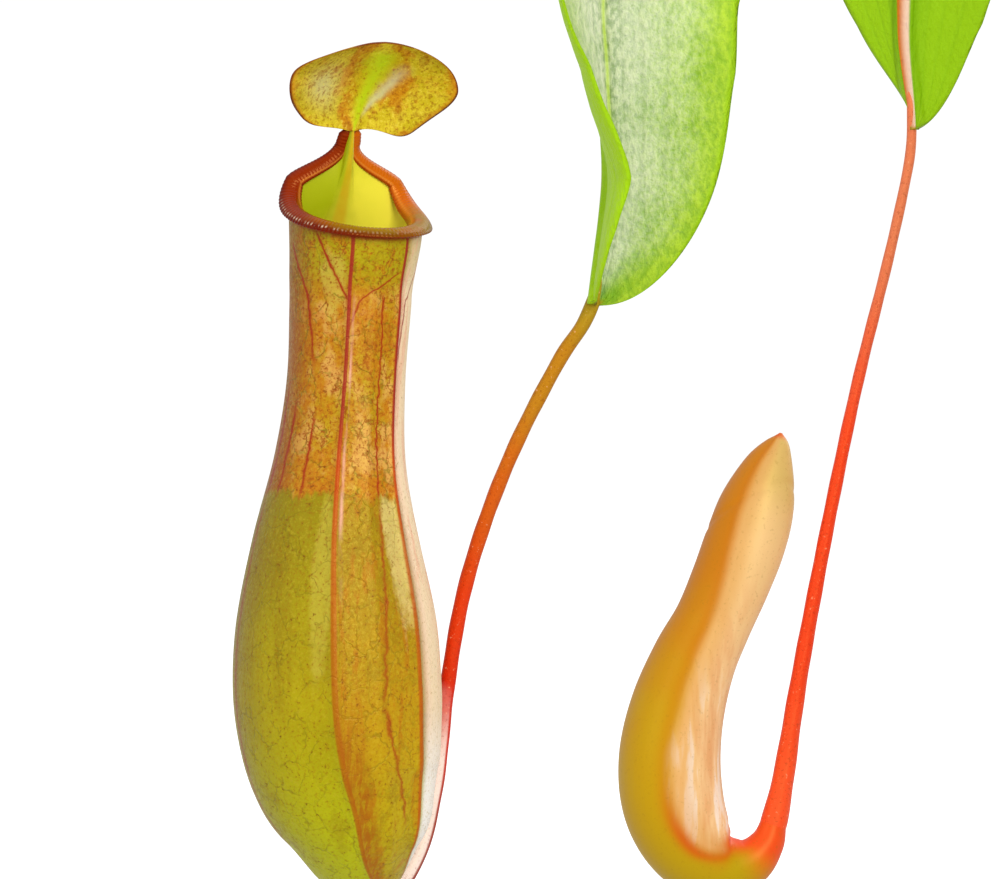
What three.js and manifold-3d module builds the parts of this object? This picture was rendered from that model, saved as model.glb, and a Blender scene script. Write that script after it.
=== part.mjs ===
// A pitcher plant in a plain clay pot, as a scene graph of solids in millimetres, +Z up.
// The origin is the centre of the pot's flat underside. Every leaf is one blade with its midrib; from
// its tip runs a tendril, and the tendril turns up at its end into a pitcher: either an open cup with a
// rolled rim and a lid, or a young one that is still shut.

import * as THREE from "three";
import { mergeVertices } from "three/addons/utils/BufferGeometryUtils.js";
import Module from "manifold-3d";

const wasm = await Module();
wasm.setup();

// ---------------------------------------------------------------- driving dimensions
const GAP = 0.35; // between two pieces that touch
// Along a tendril's axis: from its leaf's blunt tip, and to the pitcher or the free end that it runs to.
const TIP_GAP = 0.85;
const END_GAP = { open: 1.05, bud: 0.35, free: 0 };
const RAD = Math.PI / 180;

const POT = {
  height: 110, footRadius: 42, shoulderRadius: 55, bandRadius: 58.5, mouthRadius: 60,
  bandHeight: 22, wall: 5.5, floor: 8, lip: 1.6, footEdge: 1.5, cornerRise: 6, cornerRun: 5, sides: 32,
  drainRadius: 4.5, drainCircle: 24, drains: 4,
};
const SOIL = {
  top: 98, swell: 2.2, heap: 3,
  chips: 16, chipSize: [11, 7, 4.5], chipLift: 1.6, clearOfStem: 12, clearOfPot: 9,
};
const GOLDEN_ANGLE = 2.39996;
const STEM = {
  footRadius: 4.3, topRadius: 2.2, tipFrom: 0.88, tipTaper: 0.75, knots: 0.06, knotRate: 70,
  sides: 10, steps: 18,
};
const STEM_LINE = [
  [0, 0, 66], [0, 0, 100], [2, -1, 140], [-2, 2, 180], [1, 3, 220], [3, 0, 252], [2, -1, 276], [3, 0, 296],
];

// Leaves: a blade with a ridge below for its midrib, on a winged stalk. Its cross rows crowd to the tip.
const BLADE = {
  thickness: 0.9, ridgeHalf: 3.0, ridgeFoot: 3.2, ridgeTip: 2.0, tipHalf: 1.3, rippleRate: 21,
  across: 6, along: 12, crowding: 1.4,
};
const STALK = { share: 0.15, halfWidth: 3.6 };

// The leaf whose pitcher is fully grown: it hangs straight down at its end.
const GROWN_LEAF_LINE = [
  [-2, 2, 172], [-26, -15, 212], [-66, -39, 238], [-108, -64, 246], [-139, -82, 234],
  [-150, -89, 211], [-150, -90, 190], [-149.2, -90, 170], [-152.1, -90, 145.5],
];
// Towards its tip that leaf's left half turns up over the midrib. At each distance from the tip: the
// slope of the half blade at the midrib and at its edge, in degrees.
const GROWN_LEAF_FOLD = [
  [0, 80, 104], [24, 87, 120], [38, 60, 128], [60, 40, 124], [105, 22, 40], [150, 14, -6],
];
// The leaf whose pitcher is still shut: it hangs behind the stem and shows its underside.
const SHUT_LEAF_LINE = [
  [1, 3, 216], [-16, 22, 252], [-40, 50, 270], [-64, 76, 262],
  [-76, 89, 238], [-78.5, 91, 214], [-76.2, 90, 190],
];

const TENDRIL = { sides: 6, steps: 13 };

// Open pitcher at full size. Its own directions are out (away from the stem), back and up, from the
// leaf's tip. Each station of the cup is [out, back, up, radius].
const TENDRIL_LINE = [
  [0, 0, 0], [2.4, 0.4, -3.2], [7.3, 1.2, -10.7], [15.4, 3, -26.3], [21.7, 5.5, -41.9],
  [26.3, 8, -57.5], [29.3, 10, -75.1], [30.6, 11, -92], [32.4, 10, -104.5], [35.2, 7.7, -110.8],
  [39.2, 4.5, -113.9],
];
const TENDRIL_RADII = [1.4, 1.8];
const CUP_LINE = [
  [40.0, 3.9, -114.1, 2.2], [42.4, 2.3, -112.4, 6.4], [44.7, 0.9, -107.6, 10.9], [46.4, 0, -100.6, 15.0],
  [48.5, 0, -92.6, 18.2], [50.0, 0, -83.6, 19.8], [50.7, 0, -74.0, 20.3], [50.9, 0, -61.4, 19.5],
  [50.9, 0, -45.8, 16.4], [50.1, 0, -30.2, 12.9], [48.9, 0, -14.6, 11.6], [48.0, 0, 1.0, 11.9],
];
const CUP = {
  facing: 25 * RAD, wall: 1.1, throat: 0.78, ribAngle: 22.5 * RAD, ribHalf: 0.12, ribHeight: 0.9,
  sides: 20, rings: 12, floorRing: 3,
};
// The mouth's line, in the cup's own side, front and up: round in front and drawn up to a neck behind,
// where the rim's face tilts forward.
const MOUTH = {
  centre: [47.3, 0], halfWidth: 12.7, front: 13.7, depth: 27, lean: 13, lipUp: 13.8, slope: 8.5,
  neckRise: 13.6, pinch: 0.57, pinchFrom: 0.77, pinchTo: 0.95, tilt: 78 * RAD, open: 162 * RAD,
};
// Pairs of the rim's values hold in front and at the neck.
const RIM = {
  outward: [2.5, 1.1], inward: [2.9, 1], narrowFrom: 0.85, narrowTo: 1, halfThickness: [0.85, 0.65],
  roll: [0.17, 0.05], flatFrom: 0.5, flatTo: 0.85, seat: [1.6, 2.1], sides: 8, steps: 26,
};
// Pairs of the lid's lobes and roundness hold on its left and on its right.
const LID = {
  length: 17.7, halfWidth: 18, widest: 0.51, stalkHalf: 0.9, lobes: [3.7, 7], roundness: [2.2, 1.6],
  sway: 3.4, arch: 2.2, rise: 0.6, back: 1.2, lean: 60 * RAD, thickness: 0.9, droop: [-4 * RAD, -34 * RAD],
  across: 6, along: 8,
};

// Young pitcher, still shut, by its leaf's tip: the tendril ends in a bend and the body stands up beside it.
const BUD_TENDRIL_LINE = [
  [0, 0, 0], [0.9, 0, -3.4], [2.3, 0, -12.3], [6.3, 0, -30.3], [13, 0, -57.2],
  [18.7, 0, -84.1], [23.9, 0, -111], [27.1, 0, -129.1], [30, 0, -147.5], [32.1, 0, -157.6],
];
const BUD_TENDRIL_RADII = [1.2, 3.2];
const BUD_LINE = [
  [32.2, 0, -158.0, 3.3], [33.8, 0, -162.8, 4.0], [37.4, 0, -166.8, 5.6], [43.2, 0, -168.2, 7.8],
  [49.0, 0, -165.4, 9.8], [53.2, 0, -159.6, 11.2], [55.6, 0, -152.0, 11.9], [56.0, 0, -142.5, 11.8],
  [54.2, 0, -131.9, 11.0], [50.6, 0, -121.4, 9.9], [46.2, 0, -112.4, 9.1], [42.2, 0, -103.2, 9.3],
  [38.8, 0, -94.2, 9.5], [36.0, 0, -85.5, 8.8], [33.4, 0, -77.3, 6.2], [31.3, 0, -71.8, 3.0],
];
const BUD_TIP = [30.6, 0, -69.2];
const BUD = {
  facing: 48 * RAD, flatten: 0.9, ribAngle: 51.4 * RAD, ribHalf: 0.15, ribHeight: 0.5,
  sides: 14, rings: 16,
};

// The other leaves: direction round the stem in degrees, heights of foot, crest and tip, reach, half
// width, and what hangs from the tip: its kind and size, how far it is turned, and for an open pitcher
// its tendril's drop, a factor on the length.
const OTHER_LEAVES = [
  {
    n: 3, azimuth: 338, foot: 124, reach: 150, crest: 196, tip: 143, half: 24,
    pitcher: "open", size: 0.93, turn: 4, drop: 1.02,
  },
  {
    n: 4, azimuth: 52, foot: 136, reach: 142, crest: 204, tip: 148, half: 25,
    pitcher: "open", size: 0.86, turn: -8, drop: 1.1,
  },
  {
    n: 5, azimuth: 275, foot: 148, reach: 128, crest: 214, tip: 150, half: 23,
    pitcher: "open", size: 0.8, turn: 10, drop: 1.2,
  },
  {
    n: 6, azimuth: 92, foot: 160, reach: 122, crest: 232, tip: 186, half: 22,
    pitcher: "bud", size: 0.78, turn: 0,
  },
  {
    n: 7, azimuth: 14, foot: 186, reach: 132, crest: 240, tip: 196, half: 23,
    pitcher: "bud", size: 0.62, turn: 20,
  },
  {
    n: 8, azimuth: 300, foot: 204, reach: 118, crest: 256, tip: 214, half: 21,
    pitcher: "bud", size: 0.5, turn: -15,
  },
];
// Upright young leaves at the top, each with the beginning of a tendril that hooks over.
const YOUNG_LEAVES = [
  { n: 9, lead: 0.82, azimuth: 172, foot: 226, reach: 84, crest: 288, tip: 296, half: 16, curl: 26 },
  { n: 10, lead: 0.82, azimuth: 58, foot: 238, reach: 66, crest: 304, tip: 318, half: 14, curl: 22 },
  { n: 11, lead: 0.82, azimuth: 258, foot: 250, reach: 46, crest: 306, tip: 330, half: 11, curl: 18 },
];
// Stations of that tendril as shares of its curl: onward from the leaf's tip, away from the stem, down.
const YOUNG_TENDRIL_LINE = [
  [0, 0, 0], [0.35, 0.02, 0], [0.8, 0.15, 0], [1.12, 0.45, 0.1], [1.15, 0.85, 0.45], [1.05, 0.95, 0.95],
];
const YOUNG_TENDRIL_RADII = [1.1, 1.3];

const COLOURS = {
  clay: { color: 0xb5623c, roughness: 0.9 },
  soil: { color: 0x3b2a1c, roughness: 1 },
  stem: { color: 0x6d7f2c, roughness: 0.6 },
  leaf: { color: 0x6fae1e, roughness: 0.35 },
  tendril: { color: 0xcf4a16, roughness: 0.5 },
  cup: { color: 0xa7a21c, roughness: 0.4 },
  rim: { color: 0x9c3a12, roughness: 0.25 },
  lid: { color: 0xc99a1e, roughness: 0.45 },
  bud: { color: 0xc98a1c, roughness: 0.4 },
};

// ---------------------------------------------------------------- solids
const vec = (x, y, z) => new THREE.Vector3(x, y, z);
const clamp = THREE.MathUtils.clamp;
const mix = THREE.MathUtils.lerp;
const ease = THREE.MathUtils.smoothstep;
const bell = (x, half) => Math.exp(-((x / half) ** 2));

// The values of a short list of stations at x, read along straight lines between them.
function between(stations, x) {
  const next = clamp(stations.findIndex(([at]) => at > x), 1, stations.length - 1);
  const [[from, ...low], [to, ...high]] = [stations[next - 1], stations[next]];
  return low.map((value, i) => mix(value, high[i], clamp((x - from) / (to - from), 0, 1)));
}

// Moves every vertex of a geometry to where place says, and turns its faces out if they came to point in.
function shaped(geometry, place) {
  const loose = geometry.clone();
  const at = loose.attributes.position;
  for (let i = 0; i < at.count; i++) {
    const p = place(at.getX(i), at.getY(i), at.getZ(i));
    at.setXYZ(i, p.x, p.y, p.z);
  }
  return facingOut(welded(loose));
}

function welded(geometry) {
  const bare = geometry.clone();
  bare.deleteAttribute("normal");
  bare.deleteAttribute("uv");
  return mergeVertices(bare, 1e-3);
}

function facingOut(geometry) {
  const at = geometry.attributes.position;
  const index = geometry.index.array;
  const [a, b, c] = [vec(), vec(), vec()];
  let volume = 0;
  for (let i = 0; i < index.length; i += 3) {
    a.fromBufferAttribute(at, index[i]);
    b.fromBufferAttribute(at, index[i + 1]);
    c.fromBufferAttribute(at, index[i + 2]);
    volume += a.dot(b.cross(c));
  }
  if (volume > 0) return geometry;
  for (let i = 0; i < index.length; i += 3) [index[i], index[i + 1]] = [index[i + 1], index[i]];
  return geometry;
}

function solidOf(geometry) {
  const g = geometry.index ? welded(geometry) : mergeVertices(geometry, 1e-3);
  return new wasm.Manifold(
    new wasm.Mesh({
      numProp: 3,
      vertProperties: new Float32Array(g.attributes.position.array),
      triVerts: new Uint32Array(g.index.array),
    }),
  );
}

// The geometry of a solid, without the slivers that a cut may leave loose.
function geometryOf(solid) {
  const largest = solid.decompose().sort((p, q) => q.volume() - p.volume())[0];
  const mesh = largest.getMesh();
  return new THREE.BufferGeometry()
    .setAttribute("position", new THREE.BufferAttribute(new Float32Array(mesh.vertProperties), 3))
    .setIndex(new THREE.BufferAttribute(new Uint32Array(mesh.triVerts), 1));
}

// A rod of any section: place gets the angle round it, the share along it, and 0 on its axis or 1 on
// its skin.
function rod(sides, steps, place) {
  const bar = new THREE.CylinderGeometry(1, 1, 1, sides, steps);
  return shaped(bar, (x, y, z) => place(Math.atan2(x, z), y + 0.5, Math.min(1, Math.hypot(x, z))));
}

// A closed sheet with both faces split alike: place gets u across (-1 to 1), v along (0 to 1), and the
// face, 1 above and 0 below.
function sheet(across, along, place) {
  const grid = new THREE.PlaneGeometry(2, 1, across, along);
  const flat = grid.attributes.position;
  const count = flat.count;
  const at = new Float32Array(count * 6);
  for (let i = 0; i < count; i++) {
    place(flat.getX(i), flat.getY(i) + 0.5, 1).toArray(at, i * 3);
    place(flat.getX(i), flat.getY(i) + 0.5, 0).toArray(at, (count + i) * 3);
  }
  const upper = [...grid.index.array];
  const lower = upper.map((_, i) => count + upper[i % 3 === 0 ? i : i % 3 === 1 ? i + 1 : i - 1]);
  const row = across + 1;
  const edge = [
    ...Array.from({ length: across }, (_, i) => i),
    ...Array.from({ length: along }, (_, i) => i * row + across),
    ...Array.from({ length: across }, (_, i) => along * row + across - i),
    ...Array.from({ length: along }, (_, i) => (along - i) * row),
  ];
  const wall = edge.flatMap((a, i) => {
    const b = edge[(i + 1) % edge.length];
    return [a, b, count + a, b, count + b, count + a];
  });
  const made = new THREE.BufferGeometry()
    .setAttribute("position", new THREE.BufferAttribute(at, 3))
    .setIndex([...upper, ...lower, ...wall]);
  return facingOut(mergeVertices(made, 1e-3));
}

const smoothCurve = (points) => new THREE.CatmullRomCurve3(points, false, "catmullrom", 0.5);

// A smooth line through stations of a place and a radius, both read at the same t.
class Line {
  constructor(stations) {
    this.curve = smoothCurve(stations.map(([x, y, z]) => vec(x, y, z)));
    this.radii = smoothCurve(stations.map(([, , , radius]) => vec(radius, 0, 0)));
  }
  at(t) { return this.curve.getPoint(t); }
  radius(t) { return this.radii.getPoint(t).x; }
}

const stemCurve = smoothCurve(STEM_LINE.map((p) => vec(...p)));

// The stem's centre at a height.
function stemAt(height) {
  let t = 0.5;
  for (let step = 0.25; step > 1e-4; step /= 2) t += stemCurve.getPoint(t).z < height ? step : -step;
  return stemCurve.getPoint(t);
}

// ---------------------------------------------------------------- pot, soil and stem
// The pot's inner radius at a height: a straight taper below the band, a little wider inside it.
function potInside(z) {
  const { footRadius, shoulderRadius, mouthRadius, height, bandHeight, wall } = POT;
  const bandFoot = height - bandHeight;
  if (z < bandFoot) return mix(footRadius, shoulderRadius, z / bandFoot) - wall;
  return mix(shoulderRadius - wall, mouthRadius - wall - POT.lip, (z - bandFoot) / (bandHeight - POT.lip));
}

function potGeometry() {
  const { height, footRadius, shoulderRadius, bandRadius, mouthRadius, bandHeight, floor, lip, sides } = POT;
  const { footEdge, cornerRise, cornerRun } = POT;
  const bandFoot = height - bandHeight;
  const outline = [
    [0, 0], [footRadius - footEdge, 0], [footRadius, footEdge], [shoulderRadius, bandFoot],
    [bandRadius, bandFoot + lip / 2], [mouthRadius, height - lip], [mouthRadius - lip, height],
    [potInside(height - lip) + lip, height], [potInside(height - lip), height - lip],
    [potInside(bandFoot), bandFoot], [potInside(floor + cornerRise), floor + cornerRise],
    [potInside(floor) - cornerRun, floor], [0, floor],
  ];
  const turned = new THREE.LatheGeometry(outline.map(([r, z]) => new THREE.Vector2(r, z)), sides);
  let solid = solidOf(shaped(turned, (x, y, z) => vec(z, x, y)));
  for (let i = 0; i < POT.drains; i++) {
    const angle = ((i + 0.5) / POT.drains) * 2 * Math.PI;
    const drill = new THREE.CylinderGeometry(POT.drainRadius, POT.drainRadius, floor * 3, 12);
    drill.rotateX(Math.PI / 2);
    drill.translate(POT.drainCircle * Math.cos(angle), POT.drainCircle * Math.sin(angle), 0);
    solid = solid.subtract(solidOf(drill));
  }
  return geometryOf(solid);
}

// Soil fills the pot to a little under its brim, heaped towards the stem, with bark chips in its top.
function soilGeometry() {
  const { height, bandHeight, floor, cornerRise, cornerRun, sides } = POT;
  const { top, swell, heap, chips, chipSize, chipLift, clearOfStem, clearOfPot } = SOIL;
  const bandFoot = height - bandHeight;
  const clear = (z) => potInside(z) - GAP;
  const brim = clear(top);
  const corner = floor + cornerRise;
  const outline = [
    [0, floor + GAP], [clear(floor) - cornerRun - GAP, floor + GAP], [clear(corner), corner + GAP],
    [clear(bandFoot), bandFoot], [clear(top - swell), top - swell],
    [brim * 0.86, top], [brim * 0.6, top + heap / 3], [brim * 0.34, top + (heap * 2) / 3], [0, top + heap],
  ];
  const turned = new THREE.LatheGeometry(outline.map(([r, z]) => new THREE.Vector2(r, z)), sides);
  const uneven = shaped(turned, (x, y, z) => {
    const bump = y > top - 1 ? swell * Math.sin(x * 0.19 + 1) * Math.cos(z * 0.23) : 0;
    return vec(z, x, y + bump);
  });
  let solid = solidOf(uneven);
  for (let i = 0; i < chips; i++) {
    const angle = i * GOLDEN_ANGLE;
    const r = mix(clearOfStem, brim - clearOfPot, Math.sqrt((i + 0.5) / chips));
    const sizes = chipSize.map((s, k) => s * mix(0.75, 1.25, (i * (k + 2) * 0.37) % 1));
    const chip = new THREE.BoxGeometry(...sizes);
    chip.rotateX(0.35 * Math.sin(i * 1.7));
    chip.rotateY(0.3 * Math.cos(i * 2.3));
    chip.rotateZ(i * 1.13);
    chip.translate(r * Math.cos(angle), r * Math.sin(angle), top + chipLift + 0.5 * swell * Math.sin(i));
    solid = solid.add(solidOf(chip));
  }
  return geometryOf(solid.subtract(solidOf(stemRod(GAP))));
}

// The stem as a rod, fatter by a margin where another piece has to be cut clear of it.
function stemRod(margin) {
  const { footRadius, topRadius, tipFrom, tipTaper, knots, knotRate, sides, steps } = STEM;
  return rod(sides, steps, (angle, t, skin) => {
    const taper = (1 - tipTaper * ease(t, tipFrom, 1)) * (1 + knots * Math.sin(t * knotRate));
    const radius = (mix(footRadius, topRadius, t) * taper + margin) * skin;
    const ends = (t - 0.5) * 2 * margin;
    return stemCurve.getPoint(t).add(vec(Math.cos(angle) * radius, Math.sin(angle) * radius, ends));
  });
}

// ---------------------------------------------------------------- leaves
// One half blade's section is an arc from the midrib: its direction turns from fold[0] to fold[1], which
// are never the same.
function arcPoint(width, fold, share) {
  const turn = fold[1] - fold[0];
  const end = fold[0] + turn * share;
  const out = (width * (Math.sin(end) - Math.sin(fold[0]))) / turn;
  const up = (width * (Math.cos(fold[0]) - Math.cos(end))) / turn;
  return { out, up, end };
}

// Half width along a leaf: a winged stalk, a long widening, and a tip that is blunter the lower its power.
function leafHalfWidth(v, length, half, tipLength, tipPower) {
  const left = (1 - v) * length;
  const tip = Math.max(0, 1 - (1 - clamp(left / tipLength, 0, 1)) ** 2) ** tipPower;
  const body = mix(STALK.halfWidth / half, 1, ease(v, STALK.share, 1 - tipLength / length));
  return Math.max(BLADE.tipHalf, half * body * tip);
}

// The directions at a share of a leaf's line: along it, across it and out of its upper face.
function leafAxes(curve, v, azimuth, twist) {
  const along = curve.getTangentAt(clamp(v, 0.001, 0.999));
  const across = vec(-Math.sin(azimuth), Math.cos(azimuth), 0);
  across.addScaledVector(along, -across.dot(along)).normalize().applyAxisAngle(along, twist);
  return { along, across, up: along.clone().cross(across) };
}

function leafGeometry({ curve, azimuth, half, tipLength, tipPower = 0.5, twistAt, foldAt, wave }) {
  const length = curve.getLength();
  const blade = sheet(BLADE.across, BLADE.along, (u, row, face) => {
    const v = 1 - (1 - row) ** BLADE.crowding;
    const share = Math.abs(u) ** 1.5;
    const side = Math.sign(u);
    const { across, up } = leafAxes(curve, v, azimuth, twistAt(v));
    const width = leafHalfWidth(v, length, half, tipLength, tipPower);
    const { out, up: lift, end } = arcPoint(width, foldAt((1 - v) * length, side), share);
    const ripple = wave * share * share * ease(v, 0.2, 0.5) * Math.sin(v * BLADE.rippleRate + side);
    const point = curve.getPointAt(v).addScaledVector(across, side * out).addScaledVector(up, lift + ripple);
    if (face) return point;
    const ridge = mix(BLADE.ridgeFoot, BLADE.ridgeTip, v) * Math.max(0, 1 - (share * width) / BLADE.ridgeHalf);
    const normal = up.clone().multiplyScalar(Math.cos(end)).addScaledVector(across, -side * Math.sin(end));
    return point.addScaledVector(u === 0 ? up : normal, -(BLADE.thickness + ridge));
  });
  return geometryOf(solidOf(blade).subtract(solidOf(stemRod(GAP))));
}

// A leaf's line from its foot on the stem over a crest to its tip; a lead over 1 turns the tip inwards.
function archCurve({ azimuth, foot, reach, crest, tip, lead = 1.04 }) {
  const out = vec(Math.cos(azimuth * RAD), Math.sin(azimuth * RAD), 0);
  const base = stemAt(foot);
  const rise = foot + 1.2 * (crest - foot);
  const fall = (8 * crest - foot - tip - 3 * rise) / 3;
  return new THREE.CubicBezierCurve3(
    base,
    base.clone().addScaledVector(out, 0.27 * reach).setZ(rise),
    out.clone().multiplyScalar(lead * reach).setZ(fall),
    out.clone().multiplyScalar(reach).setZ(tip),
  );
}

const plainFold = () => [20 * RAD, -10 * RAD];

function grownFold(fromTip, side) {
  if (side >= 0) return [14 * RAD, -6 * RAD];
  return between(GROWN_LEAF_FOLD, fromTip).map((degrees) => degrees * RAD);
}

// ---------------------------------------------------------------- tendrils and pitchers
// Places out, back and up of a hanging pitcher at a leaf's tip, turned round it and scaled.
function hanger(tip, azimuth, size) {
  const out = vec(Math.cos(azimuth), Math.sin(azimuth), 0);
  const back = vec(Math.sin(azimuth), -Math.cos(azimuth), 0);
  return (o, b, z) =>
    tip.clone().addScaledVector(out, o * size).addScaledVector(back, b * size).setZ(tip.z + z * size);
}

function tendrilGeometry(place, stations, size, radii, endGap) {
  const points = stations.map(([o, b, z]) => place(o, b, z));
  const curve = smoothCurve(points);
  const length = curve.getLength();
  const from = TIP_GAP / length;
  const to = 1 - endGap / length;
  const reference = vec(0.31, 0.95, 0.02);
  return rod(TENDRIL.sides, TENDRIL.steps, (angle, t, skin) => {
    const v = mix(from, to, t);
    const along = curve.getTangentAt(v);
    const side = reference.clone().addScaledVector(along, -reference.dot(along)).normalize();
    const other = along.clone().cross(side);
    const radius = mix(...radii, 0.5 * t ** 1.5 + 0.5 * t ** 10) * size * skin;
    const centre = curve.getPointAt(v);
    return centre
      .addScaledVector(side, radius * Math.cos(angle))
      .addScaledVector(other, radius * Math.sin(angle));
  });
}

// Directions of a ring round a pitcher's line: side, and front, which leans with the line.
function ringAxes(line, t, facing) {
  const along = line.at(Math.min(1, t + 0.01)).sub(line.at(Math.max(0, t - 0.01))).normalize();
  const side = vec(-Math.cos(facing), Math.sin(facing), 0);
  side.addScaledVector(along, -side.dot(along)).normalize();
  return { side, front: side.clone().cross(along).negate() };
}

// How far back round the mouth an angle is: 0 at the front, 1 at the neck.
const backward = (angle) => (1 - Math.cos(angle)) / 2;

// A point of the mouth's line at an angle from the front, in out, back and up, with the directions
// outward across the rim, up out of its face, and through the cup's wall.
function mouthFrame(angle) {
  const spot = (a) => {
    const c = backward(a);
    const pinch = 1 - MOUTH.pinch * ease(c, MOUTH.pinchFrom, MOUTH.pinchTo);
    const side = MOUTH.halfWidth * Math.sin(a) * pinch;
    const front = MOUTH.front - MOUTH.depth * c + MOUTH.lean * c ** 6;
    const up = MOUTH.lipUp + MOUTH.slope * c + MOUTH.neckRise * c ** 5;
    return cupPoint(side, front, up);
  };
  const point = spot(angle);
  const along = spot(angle + 0.02).sub(spot(angle - 0.02)).normalize();
  const tilt = MOUTH.tilt * backward(angle) ** 1.5;
  const face = cupPoint(0, Math.sin(tilt), Math.cos(tilt)).sub(cupPoint(0, 0, 0));
  const outward = face.cross(along).normalize();
  const up = along.clone().cross(outward);
  const through = outward.clone().multiplyScalar(Math.cos(tilt)).addScaledVector(up, -Math.sin(tilt));
  return { point, outward, up, through };
}

function cupPoint(side, front, up) {
  const [o, b] = MOUTH.centre;
  const { facing } = CUP;
  return vec(
    o - side * Math.cos(facing) - front * Math.sin(facing),
    b + side * Math.sin(facing) - front * Math.cos(facing),
    up,
  );
}

const seated = (place) => (p) => place(p.x, p.y, p.z);

// The cup: an outer and an inner skin that meet under the rim. Two ribs run down its front. Up to the
// throat, a share of its rings, the section is round; above it, it turns into the mouth's outline.
function cupGeometry(place) {
  const line = new Line(CUP_LINE);
  const { facing, wall, throat, ribAngle, ribHalf, ribHeight, sides, rings, floorRing } = CUP;
  const outer = 2;
  const inner = 1;
  const outline = [new THREE.Vector2(0, 0)];
  for (let k = 0; k <= rings; k++) outline.push(new THREE.Vector2(outer, k / rings));
  for (let k = rings; k >= floorRing; k--) outline.push(new THREE.Vector2(inner, k / rings));
  outline.push(new THREE.Vector2(0, floorRing / rings));
  const toPlace = seated(place);
  return shaped(new THREE.LatheGeometry(outline, sides), (x, t, z) => {
    const skin = Math.round(Math.hypot(x, z));
    const angle = Math.atan2(x, z);
    const below = Math.min(1, t / throat);
    const centre = line.at(below);
    if (!skin) return toPlace(centre);
    const rib = ribHeight * bell(Math.abs(angle) - ribAngle, ribHalf) * ease(t, 0.1, 0.3);
    const radius = line.radius(below) + (skin === outer ? rib : -wall);
    const { side, front } = ringAxes(line, below, facing);
    const ring = centre
      .addScaledVector(side, radius * Math.sin(angle))
      .addScaledVector(front, radius * Math.cos(angle));
    if (t <= throat) return toPlace(ring);
    const { point, up, through } = mouthFrame(angle);
    const lip = point
      .addScaledVector(up, -mix(...RIM.seat, ease(backward(angle), RIM.flatFrom, RIM.flatTo)))
      .addScaledVector(through, skin === outer ? wall / 2 : -wall / 2);
    const share = (t - throat) / (1 - throat);
    const flat = ease(share, 0, 1);
    return toPlace(vec(mix(ring.x, lip.x, flat), mix(ring.y, lip.y, flat), mix(ring.z, lip.z, share)));
  });
}

// The rolled rim: a bent oval section carried round the mouth, flatter and narrower towards the neck, and
// open there where the lid is attached.
function rimGeometry(place) {
  const toPlace = seated(place);
  return rod(RIM.sides, RIM.steps, (angle, t, skin) => {
    const round = mix(-MOUTH.open, MOUTH.open, t);
    const narrow = ease(backward(round), RIM.narrowFrom, RIM.narrowTo);
    const flat = ease(backward(round), RIM.flatFrom, RIM.flatTo);
    const width = mix(...(Math.cos(angle) > 0 ? RIM.outward : RIM.inward), narrow);
    const out = width * Math.cos(angle) * skin;
    const lift = mix(...RIM.halfThickness, flat) * Math.sin(angle) * skin - mix(...RIM.roll, flat) * out * out;
    const { point, outward, up } = mouthFrame(round);
    return toPlace(point.addScaledVector(outward, out).addScaledVector(up, lift));
  });
}

// The lid: a broad drooping sheet on a short stalk. Two lobes reach back beside the stalk, and its middle
// sways to one side.
function lidGeometry(place) {
  const toPlace = seated(place);
  const { length, halfWidth, widest, stalkHalf, lean, across, along } = LID;
  const neck = MOUTH.lipUp + MOUTH.slope + MOUTH.neckRise - RIM.seat[0] + GAP;
  const behind = MOUTH.front - MOUTH.depth + MOUTH.lean - LID.back;
  return sheet(across, along, (u, v, face) => {
    const half = u < 0 ? 0 : 1;
    const power = LID.roundness[half];
    const fullness = Math.max(0, 1 - Math.abs(v / widest - 1) ** power) ** (1 / power);
    const { out, up: lift } = arcPoint(stalkHalf + halfWidth * fullness, LID.droop, Math.abs(u));
    const run = v * length + LID.rise - LID.lobes[half] * u * u * (1 - v) ** 2 * ease(v, 0, 0.25);
    const rise = lift + LID.arch * Math.sin(v * Math.PI) - (face ? 0 : LID.thickness);
    const side = Math.sign(u) * out + LID.sway * v * (1 - u * u);
    const front = behind + run * Math.cos(lean) - rise * Math.sin(lean);
    const up = neck + run * Math.sin(lean) + rise * Math.cos(lean);
    return toPlace(cupPoint(side, front, up));
  });
}

// A shut pitcher: one solid, round below, flattened towards its pointed top, with two front ribs.
function budGeometry(place) {
  const line = new Line(BUD_LINE);
  const { facing, flatten, ribAngle, ribHalf, ribHeight, sides, rings } = BUD;
  const toPlace = seated(place);
  return rod(sides, rings, (angle, t, skin) => {
    if (!skin) return toPlace(t < 0.5 ? line.at(0) : vec(...BUD_TIP));
    const { side, front } = ringAxes(line, t, facing);
    const rib = ribHeight * bell(Math.abs(angle) - ribAngle, ribHalf) * ease(t, 0.15, 0.3);
    const radius = line.radius(t);
    const sideways = (radius * mix(1, flatten, t) + rib) * Math.sin(angle);
    const forward = (radius + rib) * Math.cos(angle);
    return toPlace(line.at(t).addScaledVector(side, sideways).addScaledVector(front, forward));
  });
}

// ---------------------------------------------------------------- the plant
const plant = new THREE.Group();

function addMesh(name, geometry, finish) {
  const material = new THREE.MeshStandardMaterial({ ...COLOURS[finish], metalness: 0 });
  const mesh = new THREE.Mesh(geometry, material);
  mesh.name = name;
  mesh.geometry.computeVertexNormals();
  plant.add(mesh);
}

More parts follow.
